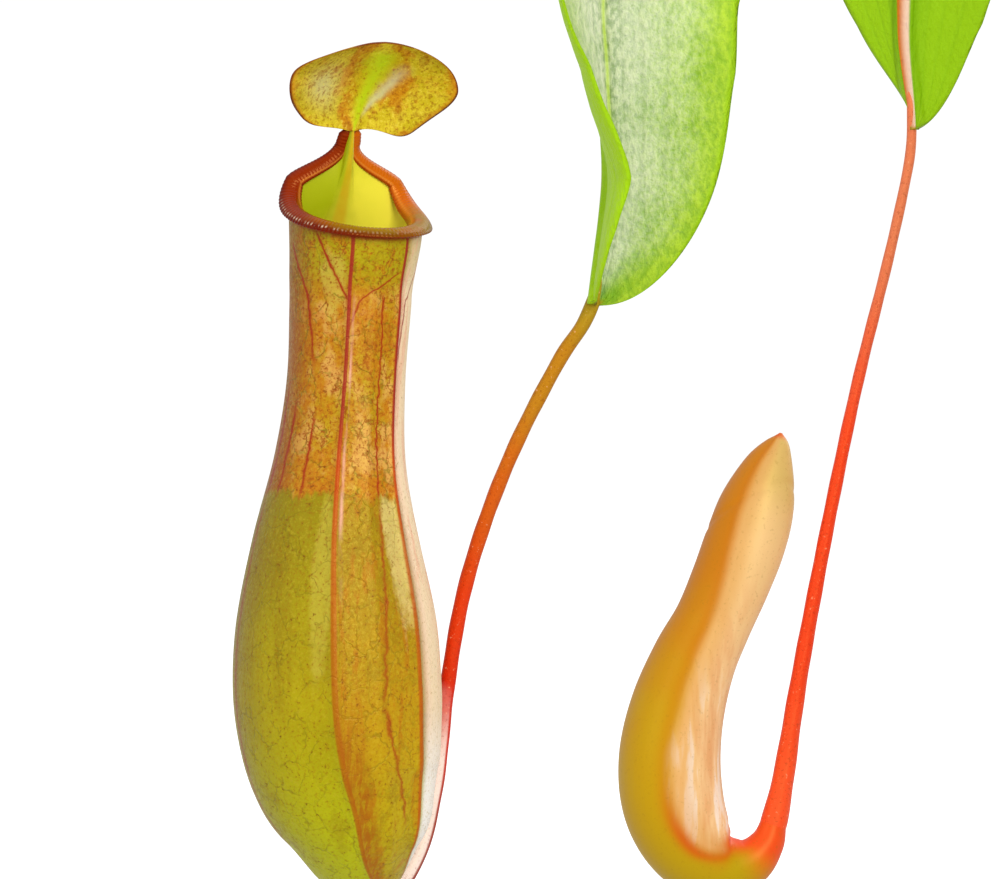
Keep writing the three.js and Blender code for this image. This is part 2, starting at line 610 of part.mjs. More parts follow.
// A leaf's tendril with its pitcher. A drop over 1 stretches an open pitcher's tendril downwards.
function addPitcher(n, { curve, azimuth, kind, size, drop }) {
  const place = hanger(curve.getPointAt(1), azimuth, size);
  if (kind === "open") {
    const longer = TENDRIL_LINE.map(([o, b, z]) => [o, b, z * drop]);
    const hung = (o, b, z) => place(o, b, z + (drop - 1) * CUP_LINE[0][2]);
    addMesh(`tendril_${n}`, tendrilGeometry(place, longer, size, TENDRIL_RADII, END_GAP.open), "tendril");
    addMesh(`pitcher_${n}`, cupGeometry(hung), "cup");
    addMesh(`rim_${n}`, rimGeometry(hung), "rim");
    addMesh(`lid_${n}`, lidGeometry(hung), "lid");
  } else {
    const tendril = tendrilGeometry(place, BUD_TENDRIL_LINE, size, BUD_TENDRIL_RADII, END_GAP.bud);
    addMesh(`tendril_${n}`, tendril, "tendril");
    addMesh(`pitcher_${n}`, budGeometry(place), "bud");
  }
}

addMesh("pot", potGeometry(), "clay");
addMesh("soil", soilGeometry(), "soil");
addMesh("stem", stemRod(0), "stem");

const grownCurve = smoothCurve(GROWN_LEAF_LINE.map((p) => vec(...p)));
const grown = {
  curve: grownCurve, azimuth: 210.6 * RAD, half: 27, tipLength: 70, wave: 0.6,
  twistAt: (v) => -56 * RAD * ease(v, 0.35, 0.8), foldAt: grownFold,
};
addMesh("leaf_1", leafGeometry(grown), "leaf");
addPitcher(1, { curve: grownCurve, azimuth: Math.PI, kind: "open", size: 1, drop: 1 });

const shutCurve = smoothCurve(SHUT_LEAF_LINE.map((p) => vec(...p)));
const shut = {
  curve: shutCurve, azimuth: 131 * RAD, half: 24, tipLength: 58, tipPower: 0.9, wave: 0.6,
  twistAt: (v) => 61 * RAD * ease(v, 0.35, 0.8), foldAt: plainFold,
};
addMesh("leaf_2", leafGeometry(shut), "leaf");
addPitcher(2, { curve: shutCurve, azimuth: Math.PI, kind: "bud", size: 1 });

for (const leaf of OTHER_LEAVES) {
  const curve = archCurve(leaf);
  const azimuth = leaf.azimuth * RAD;
  const spec = {
    curve, azimuth, half: leaf.half, tipLength: leaf.half * 2.5, wave: 1.2,
    twistAt: (v) => leaf.turn * RAD * ease(v, 0.3, 0.9), foldAt: plainFold,
  };
  addMesh(`leaf_${leaf.n}`, leafGeometry(spec), "leaf");
  const { pitcher: kind, size, drop } = leaf;
  addPitcher(leaf.n, { curve, azimuth: azimuth + leaf.turn * RAD, kind, size, drop });
}

for (const leaf of YOUNG_LEAVES) {
  const curve = archCurve(leaf);
  const azimuth = leaf.azimuth * RAD;
  const spec = {
    curve, azimuth, half: leaf.half, tipLength: leaf.half * 2.6, wave: 0.8,
    twistAt: () => 0, foldAt: () => [34 * RAD, 6 * RAD],
  };
  addMesh(`leaf_${leaf.n}`, leafGeometry(spec), "leaf");
  const tip = curve.getPointAt(1);
  const onward = curve.getTangentAt(1);
  const away = vec(Math.cos(azimuth), Math.sin(azimuth), 0).multiplyScalar(leaf.curl);
  const ahead = (run, out, fall) =>
    tip
      .clone()
      .addScaledVector(onward, run * leaf.curl)
      .addScaledVector(away, out)
      .add(vec(0, 0, -fall * leaf.curl));
  const hook = tendrilGeometry(ahead, YOUNG_TENDRIL_LINE, 1, YOUNG_TENDRIL_RADII, END_GAP.free);
  addMesh(`tendril_${leaf.n}`, hook, "tendril");
}

export default plant;
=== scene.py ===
# %% [markdown]
# # A potted pitcher plant
#
# A tropical pitcher plant grows every leaf in three stretches: a green blade, a tendril that runs on
# from the blade's tip, and a pitcher that swells at the tendril's end. A pitcher is shut at first. When
# it is grown, its lid opens over a rolled rim, and insects slip from the rim into the cup.
#
# The frame holds the plant's solids at their real size and place. This script gives each of them its
# fine shape and its living surface, in the same places. It starts by loading that frame.

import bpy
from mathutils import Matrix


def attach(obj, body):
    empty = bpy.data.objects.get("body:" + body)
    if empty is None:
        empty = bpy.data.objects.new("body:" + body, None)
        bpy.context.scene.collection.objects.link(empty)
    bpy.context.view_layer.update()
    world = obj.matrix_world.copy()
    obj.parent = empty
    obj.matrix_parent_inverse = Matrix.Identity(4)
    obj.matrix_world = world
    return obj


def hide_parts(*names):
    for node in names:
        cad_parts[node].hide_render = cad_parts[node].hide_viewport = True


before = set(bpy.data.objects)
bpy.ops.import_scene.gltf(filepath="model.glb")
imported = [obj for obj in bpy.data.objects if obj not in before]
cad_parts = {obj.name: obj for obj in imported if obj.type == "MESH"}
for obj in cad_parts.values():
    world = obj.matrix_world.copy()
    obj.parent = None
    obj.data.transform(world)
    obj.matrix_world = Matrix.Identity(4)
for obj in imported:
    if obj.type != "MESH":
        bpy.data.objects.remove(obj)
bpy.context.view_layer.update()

# %% Libraries
import math

import bmesh
import bpy
import numpy as np
from mathutils import Matrix, Vector

MM = 0.001
scene = bpy.context.scene

# %% [markdown]
# ## The camera
#
# The view is level, from far enough away that the plant has little perspective, as with a long lens.
# It looks at the largest pitcher and at the young one behind it, so the pot stays outside the frame.
# The camera comes first, because everything that follows is judged through it.

# %% Camera
VIEW_WIDTH = 195 * MM  # what the frame spans at the largest pitcher
VIEW_DISTANCE = 1050 * MM
PITCHER_DEPTH = -90 * MM  # the largest pitcher's place along Y
VIEW_CENTRE = (-171 * MM, PITCHER_DEPTH, 119.3 * MM)

lens = bpy.data.cameras.new("camera")
lens.sensor_width = 36
lens.lens = lens.sensor_width * VIEW_DISTANCE / VIEW_WIDTH
lens.clip_start = 10 * MM
lens.clip_end = 50
camera = bpy.data.objects.new("camera", lens)
camera.location = Vector(VIEW_CENTRE) - Vector((0, VIEW_DISTANCE, 0))
camera.rotation_euler = (math.radians(90), 0, 0)
scene.collection.objects.link(camera)
scene.camera = camera
print(f"camera: {lens.lens:.0f} mm lens, {camera.location.z * 1000:.0f} mm above the floor")

# %% [markdown]
# ## The white studio
#
# The plant stands in a white studio: a wide white floor under a white sky. The camera sees the sky at
# full white, and the plant gets about two thirds of that light from all round, so that its form keeps
# some shade. Soft boxes give the rest. The brightest stands to the right of the camera, because the
# pitchers are brightest on their right side. The floor glows a little, so that it stays as white as the
# sky, and it is kept out of the light that falls on the plant.

# %% Studio
FLOOR_RADIUS = 8.0
FLOOR_GLOW = 0.62
SKY = {"seen": 1.05, "light": 0.66}

studio = bpy.data.worlds.new("studio")
studio.use_nodes = True
sky = studio.node_tree.nodes["Background"]
sky.inputs["Color"].default_value = (1, 1, 1, 1)
view_path = studio.node_tree.nodes.new("ShaderNodeLightPath")
strength = studio.node_tree.nodes.new("ShaderNodeMapRange")
strength.inputs["To Min"].default_value = SKY["light"]
strength.inputs["To Max"].default_value = SKY["seen"]
studio.node_tree.links.new(view_path.outputs["Is Camera Ray"], strength.inputs["Value"])
studio.node_tree.links.new(strength.outputs["Result"], sky.inputs["Strength"])
scene.world = studio
scene.view_settings.view_transform = "Standard"


def soft_box(name, place, width, height, watts):
    """A rectangular lamp at a place, turned towards the largest pitcher."""
    lamp = bpy.data.lights.new(name, "AREA")
    lamp.shape = "RECTANGLE"
    lamp.size, lamp.size_y = width, height
    lamp.energy = watts
    box = bpy.data.objects.new(name, lamp)
    box.location = place
    box.rotation_euler = (Vector(VIEW_CENTRE) - Vector(place)).to_track_quat("-Z", "Y").to_euler()
    scene.collection.objects.link(box)


soft_box("key", place=(0.25, -1.15, 0.6), width=0.5, height=0.9, watts=11)
soft_box("back_light", place=(0.5, 0.6, 0.7), width=0.5, height=0.9, watts=2.5)
soft_box("fill", place=(-1.2, -0.9, 0.6), width=0.4, height=0.9, watts=2.5)

floor_shape = bmesh.new()
bmesh.ops.create_circle(floor_shape, cap_ends=True, radius=FLOOR_RADIUS, segments=96)
floor_mesh = bpy.data.meshes.new("floor")
floor_shape.to_mesh(floor_mesh)
floor_shape.free()
floor = bpy.data.objects.new("floor", floor_mesh)
scene.collection.objects.link(floor)
floor.visible_diffuse = floor.visible_glossy = False
print("studio: 3 soft boxes over a floor of", FLOOR_RADIUS * 2, "m")

# %% [markdown]
# ## Finishes as expressions
#
# Each finish is a tree of shader nodes. Written node by node, such a tree hides what it computes. So a
# field wraps one socket and takes the usual signs: `spots * 0.5 + 1` adds the Math nodes for it. A
# finish makes every other node with one method. Its colours are laid over each other as a painter's
# coats are, each with a field that says where it covers, and the result is joined to its shader.

# %% Fields and finishes
MAP = "Skin"  # every piece's own map: x runs round the piece, y runs along it


def ink(code):
    """A colour written as #rrggbb, as the linear colour that a shader takes."""
    parts = [int(code[i : i + 2], 16) / 255 for i in (1, 3, 5)]
    return (*[((c + 0.055) / 1.055) ** 2.4 if c > 0.04 else c / 12.92 for c in parts], 1)


class Field:
    """A value at every point of a surface."""

    def __init__(self, finish, socket):
        self.finish = finish
        self.socket = socket

    def math(self, operation, *values, clamp=False):
        """One Math node on fields and numbers."""
        settings = {"operation": operation, "use_clamp": clamp}
        return self.finish.node("ShaderNodeMath", settings, dict(enumerate(values)))

    def __add__(self, other):
        return self.math("ADD", self, other)

    def __sub__(self, other):
        return self.math("SUBTRACT", self, other)

    def __rsub__(self, other):
        return self.math("SUBTRACT", other, self)

    def __mul__(self, other):
        return self.math("MULTIPLY", self, other)

    def __truediv__(self, other):
        return self.math("DIVIDE", self, other)

    def __pow__(self, other):
        return self.math("POWER", self, other)

    def __abs__(self):
        return self.math("ABSOLUTE", self)

    __radd__ = __add__
    __rmul__ = __mul__

    def sine(self):
        return self.math("SINE", self)

    def limited(self):
        return self.math("ADD", self, 0, clamp=True)

    def greatest(self, other):
        return self.math("MAXIMUM", self, other)

    def rise(self, low, high):
        """0 below low, 1 above high, and smooth between; falls where low is above high."""
        sockets = {"Value": self, "From Min": low, "From Max": high}
        return self.finish.node("ShaderNodeMapRange", {"interpolation_type": "SMOOTHSTEP"}, sockets)

    def bell(self, centre, half):
        """1 at the centre, falling away to either side."""
        return self.math("EXPONENT", (abs(self - centre) / half) ** 2 * -1)


class Finish:
    """A material, built node by node."""

    def __init__(self, name, **constants):
        self.material = bpy.data.materials.new(name)
        self.material.use_nodes = True
        self.tree = self.material.node_tree
        self.shader = self.tree.nodes["Principled BSDF"]
        for socket, value in constants.items():
            self.shader.inputs[socket.replace("_", " ")].default_value = value

    def node(self, kind, settings=None, sockets=None, out=0):
        """One node: its settings come first, then the values or links of its sockets."""
        made = self.tree.nodes.new(kind)
        for key, value in (settings or {}).items():
            setattr(made, key, value)
        for key, value in (sockets or {}).items():
            if isinstance(value, Field):
                self.tree.links.new(value.socket, made.inputs[key])
            else:
                made.inputs[key].default_value = value
        return Field(self, made.outputs[out])

    def place(self, stretch=(1, 1, 1)):
        """The point's place in the frame, stretched along each axis."""
        spot = self.node("ShaderNodeTexCoord", out="Object")
        return self.node("ShaderNodeVectorMath", {"operation": "MULTIPLY"}, {0: spot, 1: stretch})

    def map(self):
        """The share round the piece and the share along it."""
        spot = self.node("ShaderNodeUVMap", {"uv_map": MAP})
        return tuple(self.node("ShaderNodeSeparateXYZ", None, {0: spot}, out=i) for i in (0, 1))

    def noise(self, scale, detail=3, stretch=(1, 1, 1), rough=0.55):
        """Cloudy noise; the scale is about how many clouds fit in a metre."""
        sockets = {"Vector": self.place(stretch), "Scale": scale, "Detail": detail, "Roughness": rough}
        return self.node("ShaderNodeTexNoise", None, sockets)

    def net(self, scale, stretch=(1, 1, 1), wobble=0.0):
        """The distance to a net's nearest line, 0 on the net. A wobble bends its lines."""
        quick = {"Vector": self.place(), "Scale": scale * 1.7}
        drift = self.node("ShaderNodeTexNoise", None, quick, out=1)
        bent = {0: drift, 1: (wobble,) * 3, 2: self.place(stretch)}
        spot = self.node("ShaderNodeVectorMath", {"operation": "MULTIPLY_ADD"}, bent)
        sockets = {"Vector": spot, "Scale": scale}
        return self.node("ShaderNodeTexVoronoi", {"feature": "DISTANCE_TO_EDGE"}, sockets)

    def blend(self, colour, other, share):
        """One colour, or another where the share is 1. A plain colour is written as #rrggbb."""
        first, second = (ink(c) if isinstance(c, str) else c for c in (colour, other))
        return self.node("ShaderNodeMix", {"data_type": "RGBA"}, {0: share, 6: first, 7: second}, out=2)

    def layered(self, tone, *coats):
        """A tone under coats of other colours, each given with its share."""
        for colour, share in coats:
            tone = self.blend(tone, colour, share)
        return tone

    def relief(self, height, depth, strength=1.0):
        """Makes bumps from a height, depth metres tall."""
        sockets = {"Height": height, "Distance": depth, "Strength": strength}
        self.join("Normal", self.node("ShaderNodeBump", None, sockets))

    def join(self, socket, field):
        """Feeds one of the shader's sockets."""
        self.tree.links.new(field.socket, self.shader.inputs[socket])


def painted(finish, *pieces):
    """Gives pieces their one finish."""
    for piece in pieces:
        piece.data.materials.clear()
        piece.data.materials.append(finish.material)
    print(f"{finish.material.name}: {len(finish.tree.nodes)} nodes, pieces painted: {len(pieces)}")


WARM_SHEEN = (1.0, 0.72, 0.2, 1.0)  # plant skin shines in its own colour
GREEN_SHEEN = (0.75, 1.0, 0.25, 1.0)
RED_SHEEN = (1.0, 0.45, 0.12, 1.0)
white = Finish(
    "studio_floor", Base_Color=(0.9, 0.9, 0.9, 1), Roughness=0.9, Specular_IOR_Level=0.0,
    Emission_Color=(1, 1, 1, 1), Emission_Strength=FLOOR_GLOW,
)
painted(white, floor)

# %% [markdown]
# ## Skins
#
# Blades, tendrils, cups, rims, lids, young pitchers, stem and soil are all one kind of surface: a skin
# wrapped round something long, closed at both ends. It could be sculpted, but a rule keeps it exact.
# Each starts as a flat grid of squares. Its columns are carried round the piece and its rows along it by
# a rule, the two sides of the grid are sewn together, and the ends are closed. That gives clean squares,
# a map for the patterns, and one closed body for each piece.

# %% Skins
SAME_PLACE = 1e-3 * MM  # corners closer than this are one


def ease(x, low, high):
    """0 below low, 1 above high, and smooth between; falls where low is above high."""
    share = np.clip((x - low) / (high - low), 0, 1)
    return share * share * (3 - 2 * share)


def mix(a, b, share):
    """From a to b, by a share."""
    return a + (b - a) * share


def bell(x, half):
    """1 at 0, falling away to either side."""
    return np.exp(-((x / half) ** 2))


def unit(v):
    """The same directions, at length 1."""
    return v / np.linalg.norm(v, axis=-1, keepdims=True)


def square_to(v, axis):
    """The part of v that is square to an axis, at length 1."""
    return unit(v - (v * axis).sum(-1, keepdims=True) * axis)


def grown(name, shape, slot, *nodes):
    """Turns a finished bmesh into a piece that stands for nodes of the frame."""
    mesh = bpy.data.meshes.new(name)
    shape.to_mesh(mesh)
    shape.free()
    mesh.shade_smooth()
    piece = bpy.data.objects.new(name, mesh)
    scene.collection.objects.link(piece)
    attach(piece, "root")
    if nodes:
        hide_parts(*nodes)
    return piece


def skin(name, place, slot, *nodes, columns, rows):
    """A closed skin: place gets the share round it and along it, as lists, and gives points in mm."""
    shape = bmesh.new()
    shape.loops.layers.uv.new(MAP)
    bmesh.ops.create_grid(shape, x_segments=columns, y_segments=rows, size=0.5, calc_uvs=True)
    flat = np.array([v.co[:2] for v in shape.verts]) + 0.5
    for vertex, spot in zip(shape.verts, place(flat[:, 0], flat[:, 1]) * MM):
        vertex.co = spot
    bmesh.ops.remove_doubles(shape, verts=shape.verts, dist=SAME_PLACE)
    bmesh.ops.holes_fill(shape, edges=[e for e in shape.edges if e.is_boundary], sides=0)
    bmesh.ops.recalc_face_normals(shape, faces=shape.faces)
    return grown(name, shape, slot, *nodes)


# %% [markdown]
# ## Lines
#
# The plant's limbs follow smooth lines. A line runs through a few given stations, and may carry a
# radius with each. A course is the same line measured out by length, so that rows can be spaced evenly
# along it.

# %% Lines and courses
COURSE_STEPS = 2000


class Line:
    """A smooth line through stations, read at shares of their number."""

    def __init__(self, stations):
        self.stations = np.array(stations, float)

    def at(self, t):
        """Between two stations, the line also leans on the one before them and the one after."""
        points = self.stations
        padded = np.vstack([2 * points[0] - points[1], points, 2 * points[-1] - points[-2]])
        spot = np.clip(t, 0, 1) * (len(points) - 1)
        first = np.minimum(spot.astype(int), len(points) - 2)
        x = (spot - first)[:, None]
        a, b, c, d = (padded[first + k] for k in range(4))
        square = 2 * a - 5 * b + 4 * c - d
        cube = 3 * b - a - 3 * c + d
        return 0.5 * (2 * b + (c - a) * x + square * x**2 + cube * x**3)

    def course(self):
        return Course(self.at(np.linspace(0, 1, COURSE_STEPS))[:, :3])


class Course:
    """A line of close points, read at shares of its length."""

    def __init__(self, points):
        self.points = points
        steps = np.linalg.norm(np.diff(points, axis=0), axis=1)
        self.run = np.concatenate([[0], np.cumsum(steps)])
        self.length = self.run[-1]

    def at(self, v):
        run = np.asarray(v) * self.length
        return np.stack([np.interp(run, self.run, self.points[:, k]) for k in range(3)], axis=-1)

    def along(self, v):
        """The line's direction."""
        reach = 0.002
        v = np.clip(v, reach, 1 - reach)
        return unit(self.at(v + reach) - self.at(v - reach))


# %% [markdown]
# ## The pot
#
# The pot is a plain thrown one: a tapered wall with a thicker band round its mouth, and four drain
# holes round a solid middle. Its outline is a short list of corners. Spinning them round the pot's axis
# makes the wall, and a bevel softens every edge, as the potter's sponge does. The holes are cut last.

# %% Pot
POT = {
    "height": 110, "foot": 42, "shoulder": 55, "band": 58.5, "mouth": 60, "band_height": 22,
    "wall": 5.5, "floor": 8, "lip": 1.6, "foot_edge": 1.5, "corner_rise": 6, "corner_run": 5,
    "softening": 0.8, "drain": 4.5, "drain_circle": 24, "drains": 4,
}
SHARP = math.radians(14)  # edges that turn by more than this are softened


def pot_inside(z):
    """The pot's inner radius at a height."""
    band_foot = POT["height"] - POT["band_height"]
    if z < band_foot:
        return mix(POT["foot"], POT["shoulder"], z / band_foot) - POT["wall"]
    above = (z - band_foot) / (POT["band_height"] - POT["lip"])
    return mix(POT["shoulder"], POT["mouth"] - POT["lip"], above) - POT["wall"]


def pot_outline():
    """The pot's corners, from the middle of its underside round the wall to the middle of its floor."""
    height, lip, floor_top = POT["height"], POT["lip"], POT["floor"]
    band_foot = height - POT["band_height"]
    under_lip = height - lip
    corner = floor_top + POT["corner_rise"]
    return [
        (0, 0), (POT["foot"] - POT["foot_edge"], 0), (POT["foot"], POT["foot_edge"]),
        (POT["shoulder"], band_foot), (POT["band"], band_foot + lip / 2), (POT["mouth"], under_lip),
        (POT["mouth"] - lip, height), (pot_inside(under_lip) + lip, height),
        (pot_inside(under_lip), under_lip), (pot_inside(band_foot), band_foot),
        (pot_inside(corner), corner), (pot_inside(floor_top) - POT["corner_run"], floor_top),
        (0, floor_top),
    ]


def spun(outline, steps):
    """A closed shape from an outline of radius and height, spun round the upright axis."""
    shape = bmesh.new()
    corners = [shape.verts.new((r * MM, 0, z * MM)) for r, z in outline]
    edges = [shape.edges.new(pair) for pair in zip(corners, corners[1:])]
    bmesh.ops.spin(
        shape, geom=corners + edges, cent=(0, 0, 0), axis=(0, 0, 1), angle=math.tau, steps=steps,
        use_merge=True,
    )
    bmesh.ops.remove_doubles(shape, verts=shape.verts, dist=SAME_PLACE)
    bmesh.ops.recalc_face_normals(shape, faces=shape.faces)
    return shape


def drill(radius, x, y, bottom, top):
    """A round bar, to be cut out of the pot's floor."""
    shape = bmesh.new()
    middle = Matrix.Translation((x * MM, y * MM, (bottom + top) / 2 * MM))
    bmesh.ops.create_cone(
        shape, cap_ends=True, segments=48, radius1=radius * MM, radius2=radius * MM,
        depth=(top - bottom) * MM, matrix=middle,
    )
    mesh = bpy.data.meshes.new("drill")
    shape.to_mesh(mesh)
    shape.free()
    bar = bpy.data.objects.new("drill", mesh)
    scene.collection.objects.link(bar)
    return bar


def with_modifiers_applied(piece):
    """Makes what a piece's modifiers show its real mesh."""
    graph = bpy.context.evaluated_depsgraph_get()
    mesh = bpy.data.meshes.new_from_object(piece.evaluated_get(graph))
    piece.modifiers.clear()
    piece.data = mesh


pot_shape = spun(pot_outline(), steps=160)
ring_edges = [e for e in pot_shape.edges if len(e.link_faces) == 2 and e.calc_face_angle(0) > SHARP]
bmesh.ops.bevel(
    pot_shape, geom=ring_edges, offset=POT["softening"] * MM, offset_type="OFFSET", segments=3,
    profile=0.5, affect="EDGES", clamp_overlap=True, material=-1,
)
pot = grown("clay_pot", pot_shape, "pot", "pot")
for i in range(POT["drains"]):
    turn = (i + 0.5) / POT["drains"] * math.tau
    x, y = POT["drain_circle"] * math.cos(turn), POT["drain_circle"] * math.sin(turn)
    bar = drill(POT["drain"], x, y, -POT["floor"], 2 * POT["floor"])
    cut = pot.modifiers.new("drain", "BOOLEAN")
    cut.operation = "DIFFERENCE"
    cut.solver = "EXACT"
    cut.object = bar
    with_modifiers_applied(pot)
    bpy.data.objects.remove(bar)
print("pot:", len(pot.data.polygons), "faces")

# %% [markdown]
# Unglazed clay is matt and a little uneven. Fine throwing lines run round it, and the water that seeps
# through leaves a pale bloom of lime, most of it near the foot and under the band. Colours are written
# as #rrggbb, and every coat's field is built from slow or fine noise and from the height.

# %% Terracotta
clay = Finish("terracotta", Roughness=0.88, Specular_IOR_Level=0.3)
height = clay.node("ShaderNodeSeparateXYZ", None, {0: clay.place()}, out=2)
grain = clay.noise(900, detail=4)
cloud = clay.noise(38, detail=4)
bloom = (clay.noise(70, detail=5, stretch=(1, 1, 0.6)) - 0.47).rise(0.0, 0.16)
low = height.rise(0.045, 0.0) + height.bell(0.083, 0.012) * 0.7
tone = clay.layered(
    "#b5623f",
    ("#cc7d56", cloud.rise(0.35, 0.7)),
    ("#9a4a2c", grain.rise(0.62, 0.8) * 0.5),
    ("#e4d3c0", (bloom * low).limited() * 0.75),
)
clay.join("Base Color", tone)
rings = (height * 4200 + cloud * 6).sine() * 0.25
clay.relief(grain * 0.5 + rings + bloom * 0.4, 0.0004, 0.6)
painted(clay, pot)

# %% [markdown]
# ## Soil
#
# Pitcher plants grow in an open mix of peat, bark and perlite. The heap is a skin too: it runs from the
# middle of the pot's floor outwards, up the wall, and back over the top, which a few crossing waves
# lift. Chips of bark, white grains of perlite and strands of moss lie in it. Each kind is a small shape
# that is copied many times into one mesh: a seeded random draw gives each copy its place, size and turn.

# %% Waves and scatter
def waves(points, length, seed, count=7):
    """A smooth random height at points, from crossing waves of about one length."""
    draw = np.random.default_rng(seed)
    facing = unit(draw.normal(size=(count, points.shape[-1])))
    pitch = math.tau / (length * draw.uniform(0.7, 1.5, count))
    return np.sin(points @ (facing * pitch[:, None]).T + draw.uniform(0, math.tau, count)).sum(-1) / count


def scattered(name, seed_shape, places, slot):
    """One piece of many copies of a small shape, each placed by its own matrix."""
    shape = bmesh.new()
    for place in places:
        mesh = bpy.data.meshes.new("copy")
        seed_shape.to_mesh(mesh)
        mesh.transform(place)
        shape.from_mesh(mesh)
        bpy.data.meshes.remove(mesh)
    seed_shape.free()
    return grown(name, shape, slot)


SOIL = {"top": 98, "heap": 3, "gap": 0.35, "foot": 33, "corner": 14, "brim": 96}
SOIL_WAVES = [(26, 2.2, 4), (9, 1.1, 5)]  # length, height, seed
SOIL_ROWS = [0, 0.05, 0.12, 0.3, 1]  # the middle below, the foot, the corner, the brim, the middle above


def soil_height(x, y):
    """The height of the soil's top at a place, in mm."""
    r = np.hypot(x, y) / pot_inside(SOIL["top"])
    spots = np.stack([x, y], axis=-1)
    bumps = sum(waves(spots, length, seed) * height for length, height, seed in SOIL_WAVES)
    return SOIL["top"] + SOIL["heap"] * (1 - r**2) + bumps * (1 - r**6)


def soil_place(turn, along):
    angle = turn * math.tau
    corner, brim, gap = SOIL["corner"], SOIL["brim"], SOIL["gap"]
    radii = [0, SOIL["foot"], pot_inside(corner), pot_inside(brim), 0]
    beside_wall = along < 0.9
    radius = np.maximum(np.interp(along, SOIL_ROWS, radii) - gap * beside_wall, 0)
    below = np.interp(along, SOIL_ROWS[:4], [POT["floor"], POT["floor"], corner, brim]) + gap
    x, y = radius * np.cos(angle), radius * np.sin(angle)
    return np.stack([x, y, np.where(along < SOIL_ROWS[3], below, soil_height(x, y))], axis=-1)


soil = skin("soil_heap", soil_place, "soil", "soil", columns=120, rows=110)
print("soil:", len(soil.data.polygons), "faces")

# %% Bark, perlite and moss
BARK = {"count": 420, "ring": (5, 48), "sunk": 0.2, "size": (9, 6, 2.6)}
PERLITE = {"count": 90, "ring": (6, 49), "sunk": -0.7, "size": 1.7}
TUFTS = {"count": 26, "ring": (9, 47), "sunk": 0}
MOSS = {"strands": 520, "length": 9, "thickness": 0.5, "spread": 2.6, "sunk": 0.6}
draw = np.random.default_rng(11)


def soil_spots(kind):
    """Random places on the soil for one kind of thing, spread evenly over a ring of it."""
    inner, outer = kind["ring"]
    radius = np.sqrt(draw.uniform(inner**2, outer**2, kind["count"]))
    angle = draw.uniform(0, math.tau, kind["count"])
    x, y = radius * np.cos(angle), radius * np.sin(angle)
    return [Vector(spot) * MM for spot in zip(x, y, soil_height(x, y) - kind["sunk"])]


def tumbled(spot, size, tilt):
    """A matrix that puts a small shape at a spot, turned at random."""
    turn = Matrix.Rotation(draw.uniform(0, math.tau), 4, "Z")
    tip = Matrix.Rotation(draw.normal(0, tilt), 4, "X") @ Matrix.Rotation(draw.normal(0, tilt), 4, "Y")
    return Matrix.Translation(spot) @ turn @ tip @ Matrix.Diagonal((*(s * MM for s in size), 1))


bark_chip = bmesh.new()
bmesh.ops.create_cube(bark_chip, size=1)
bmesh.ops.bevel(
    bark_chip, geom=bark_chip.edges[:], offset=0.16, offset_type="OFFSET", segments=1, profile=0.5,
    affect="EDGES", material=-1,
)
chips = [
    tumbled(spot, [s * draw.uniform(0.45, 1.25) for s in BARK["size"]], tilt=0.35)
    for spot in soil_spots(BARK)
]
bark = scattered("bark_chips", bark_chip, chips, "soil")

grain_shape = bmesh.new()
bmesh.ops.create_icosphere(grain_shape, subdivisions=1, radius=0.5)
grains = [
    tumbled(spot, [PERLITE["size"] * draw.uniform(0.6, 1.7) for _ in range(3)], tilt=1)
    for spot in soil_spots(PERLITE)
]
perlite = scattered("perlite", grain_shape, grains, "soil")

strand = bmesh.new()
bmesh.ops.create_cone(strand, cap_ends=True, segments=4, radius1=0.5, radius2=0.12, depth=1)
bmesh.ops.translate(strand, verts=strand.verts, vec=(0, 0, 0.4))
tufts = soil_spots(TUFTS)
strands = []
for i in range(MOSS["strands"]):
    tuft = tufts[i % len(tufts)]
    beside = Vector((draw.normal(0, MOSS["spread"]), draw.normal(0, MOSS["spread"]), -MOSS["sunk"])) * MM
    size = (MOSS["thickness"] * 2, MOSS["thickness"] * 2, MOSS["length"] * draw.uniform(0.3, 0.8))
    strands.append(tumbled(tuft + beside, size, tilt=0.6))
moss = scattered("moss", strand, strands, "soil")
print("soil:", BARK["count"], "chips,", PERLITE["count"], "grains,", MOSS["strands"], "strands of moss")

# %% [markdown]
# Peat is nearly black, and bark is red-brown with pale broken edges. A slow noise gives each chip a
# tone of its own, because neighbouring chips lie in different parts of it.

# %% Soil finishes
peat = Finish("peat", Roughness=0.97, Specular_IOR_Level=0.25)
crumbs = peat.noise(700, detail=6, rough=0.7)
peat.join("Base Color", peat.blend("#1d130c", "#5a3f28", crumbs.rise(0.35, 0.75)))
peat.relief(crumbs, 0.0022)
painted(peat, soil)

bark_finish = Finish("bark", Roughness=0.85, Specular_IOR_Level=0.3)
chip_tone = bark_finish.noise(120, detail=2).rise(0.35, 0.65)
fibre = bark_finish.noise(900, detail=4, stretch=(1, 0.35, 1))
tone = bark_finish.layered("#3f2416", ("#8d5a36", chip_tone), ("#c39a6d", fibre.rise(0.6, 0.8) * 0.6))
bark_finish.join("Base Color", tone)
bark_finish.relief(fibre, 0.0008)
painted(bark_finish, bark)

grain_finish = Finish("perlite_white", Roughness=0.9)
pores = grain_finish.noise(2500, detail=2)
grain_finish.join("Base Color", grain_finish.blend("#b9b2a6", "#f1ede4", pores.rise(0.35, 0.6)))
grain_finish.relief(pores, 0.0004)
painted(grain_finish, perlite)

moss_finish = Finish("moss_green", Roughness=0.8)
tuft_tone = moss_finish.noise(160, detail=2).rise(0.35, 0.65)
moss_finish.join("Base Color", moss_finish.blend("#55691c", "#b9b765", tuft_tone))
painted(moss_finish, moss)

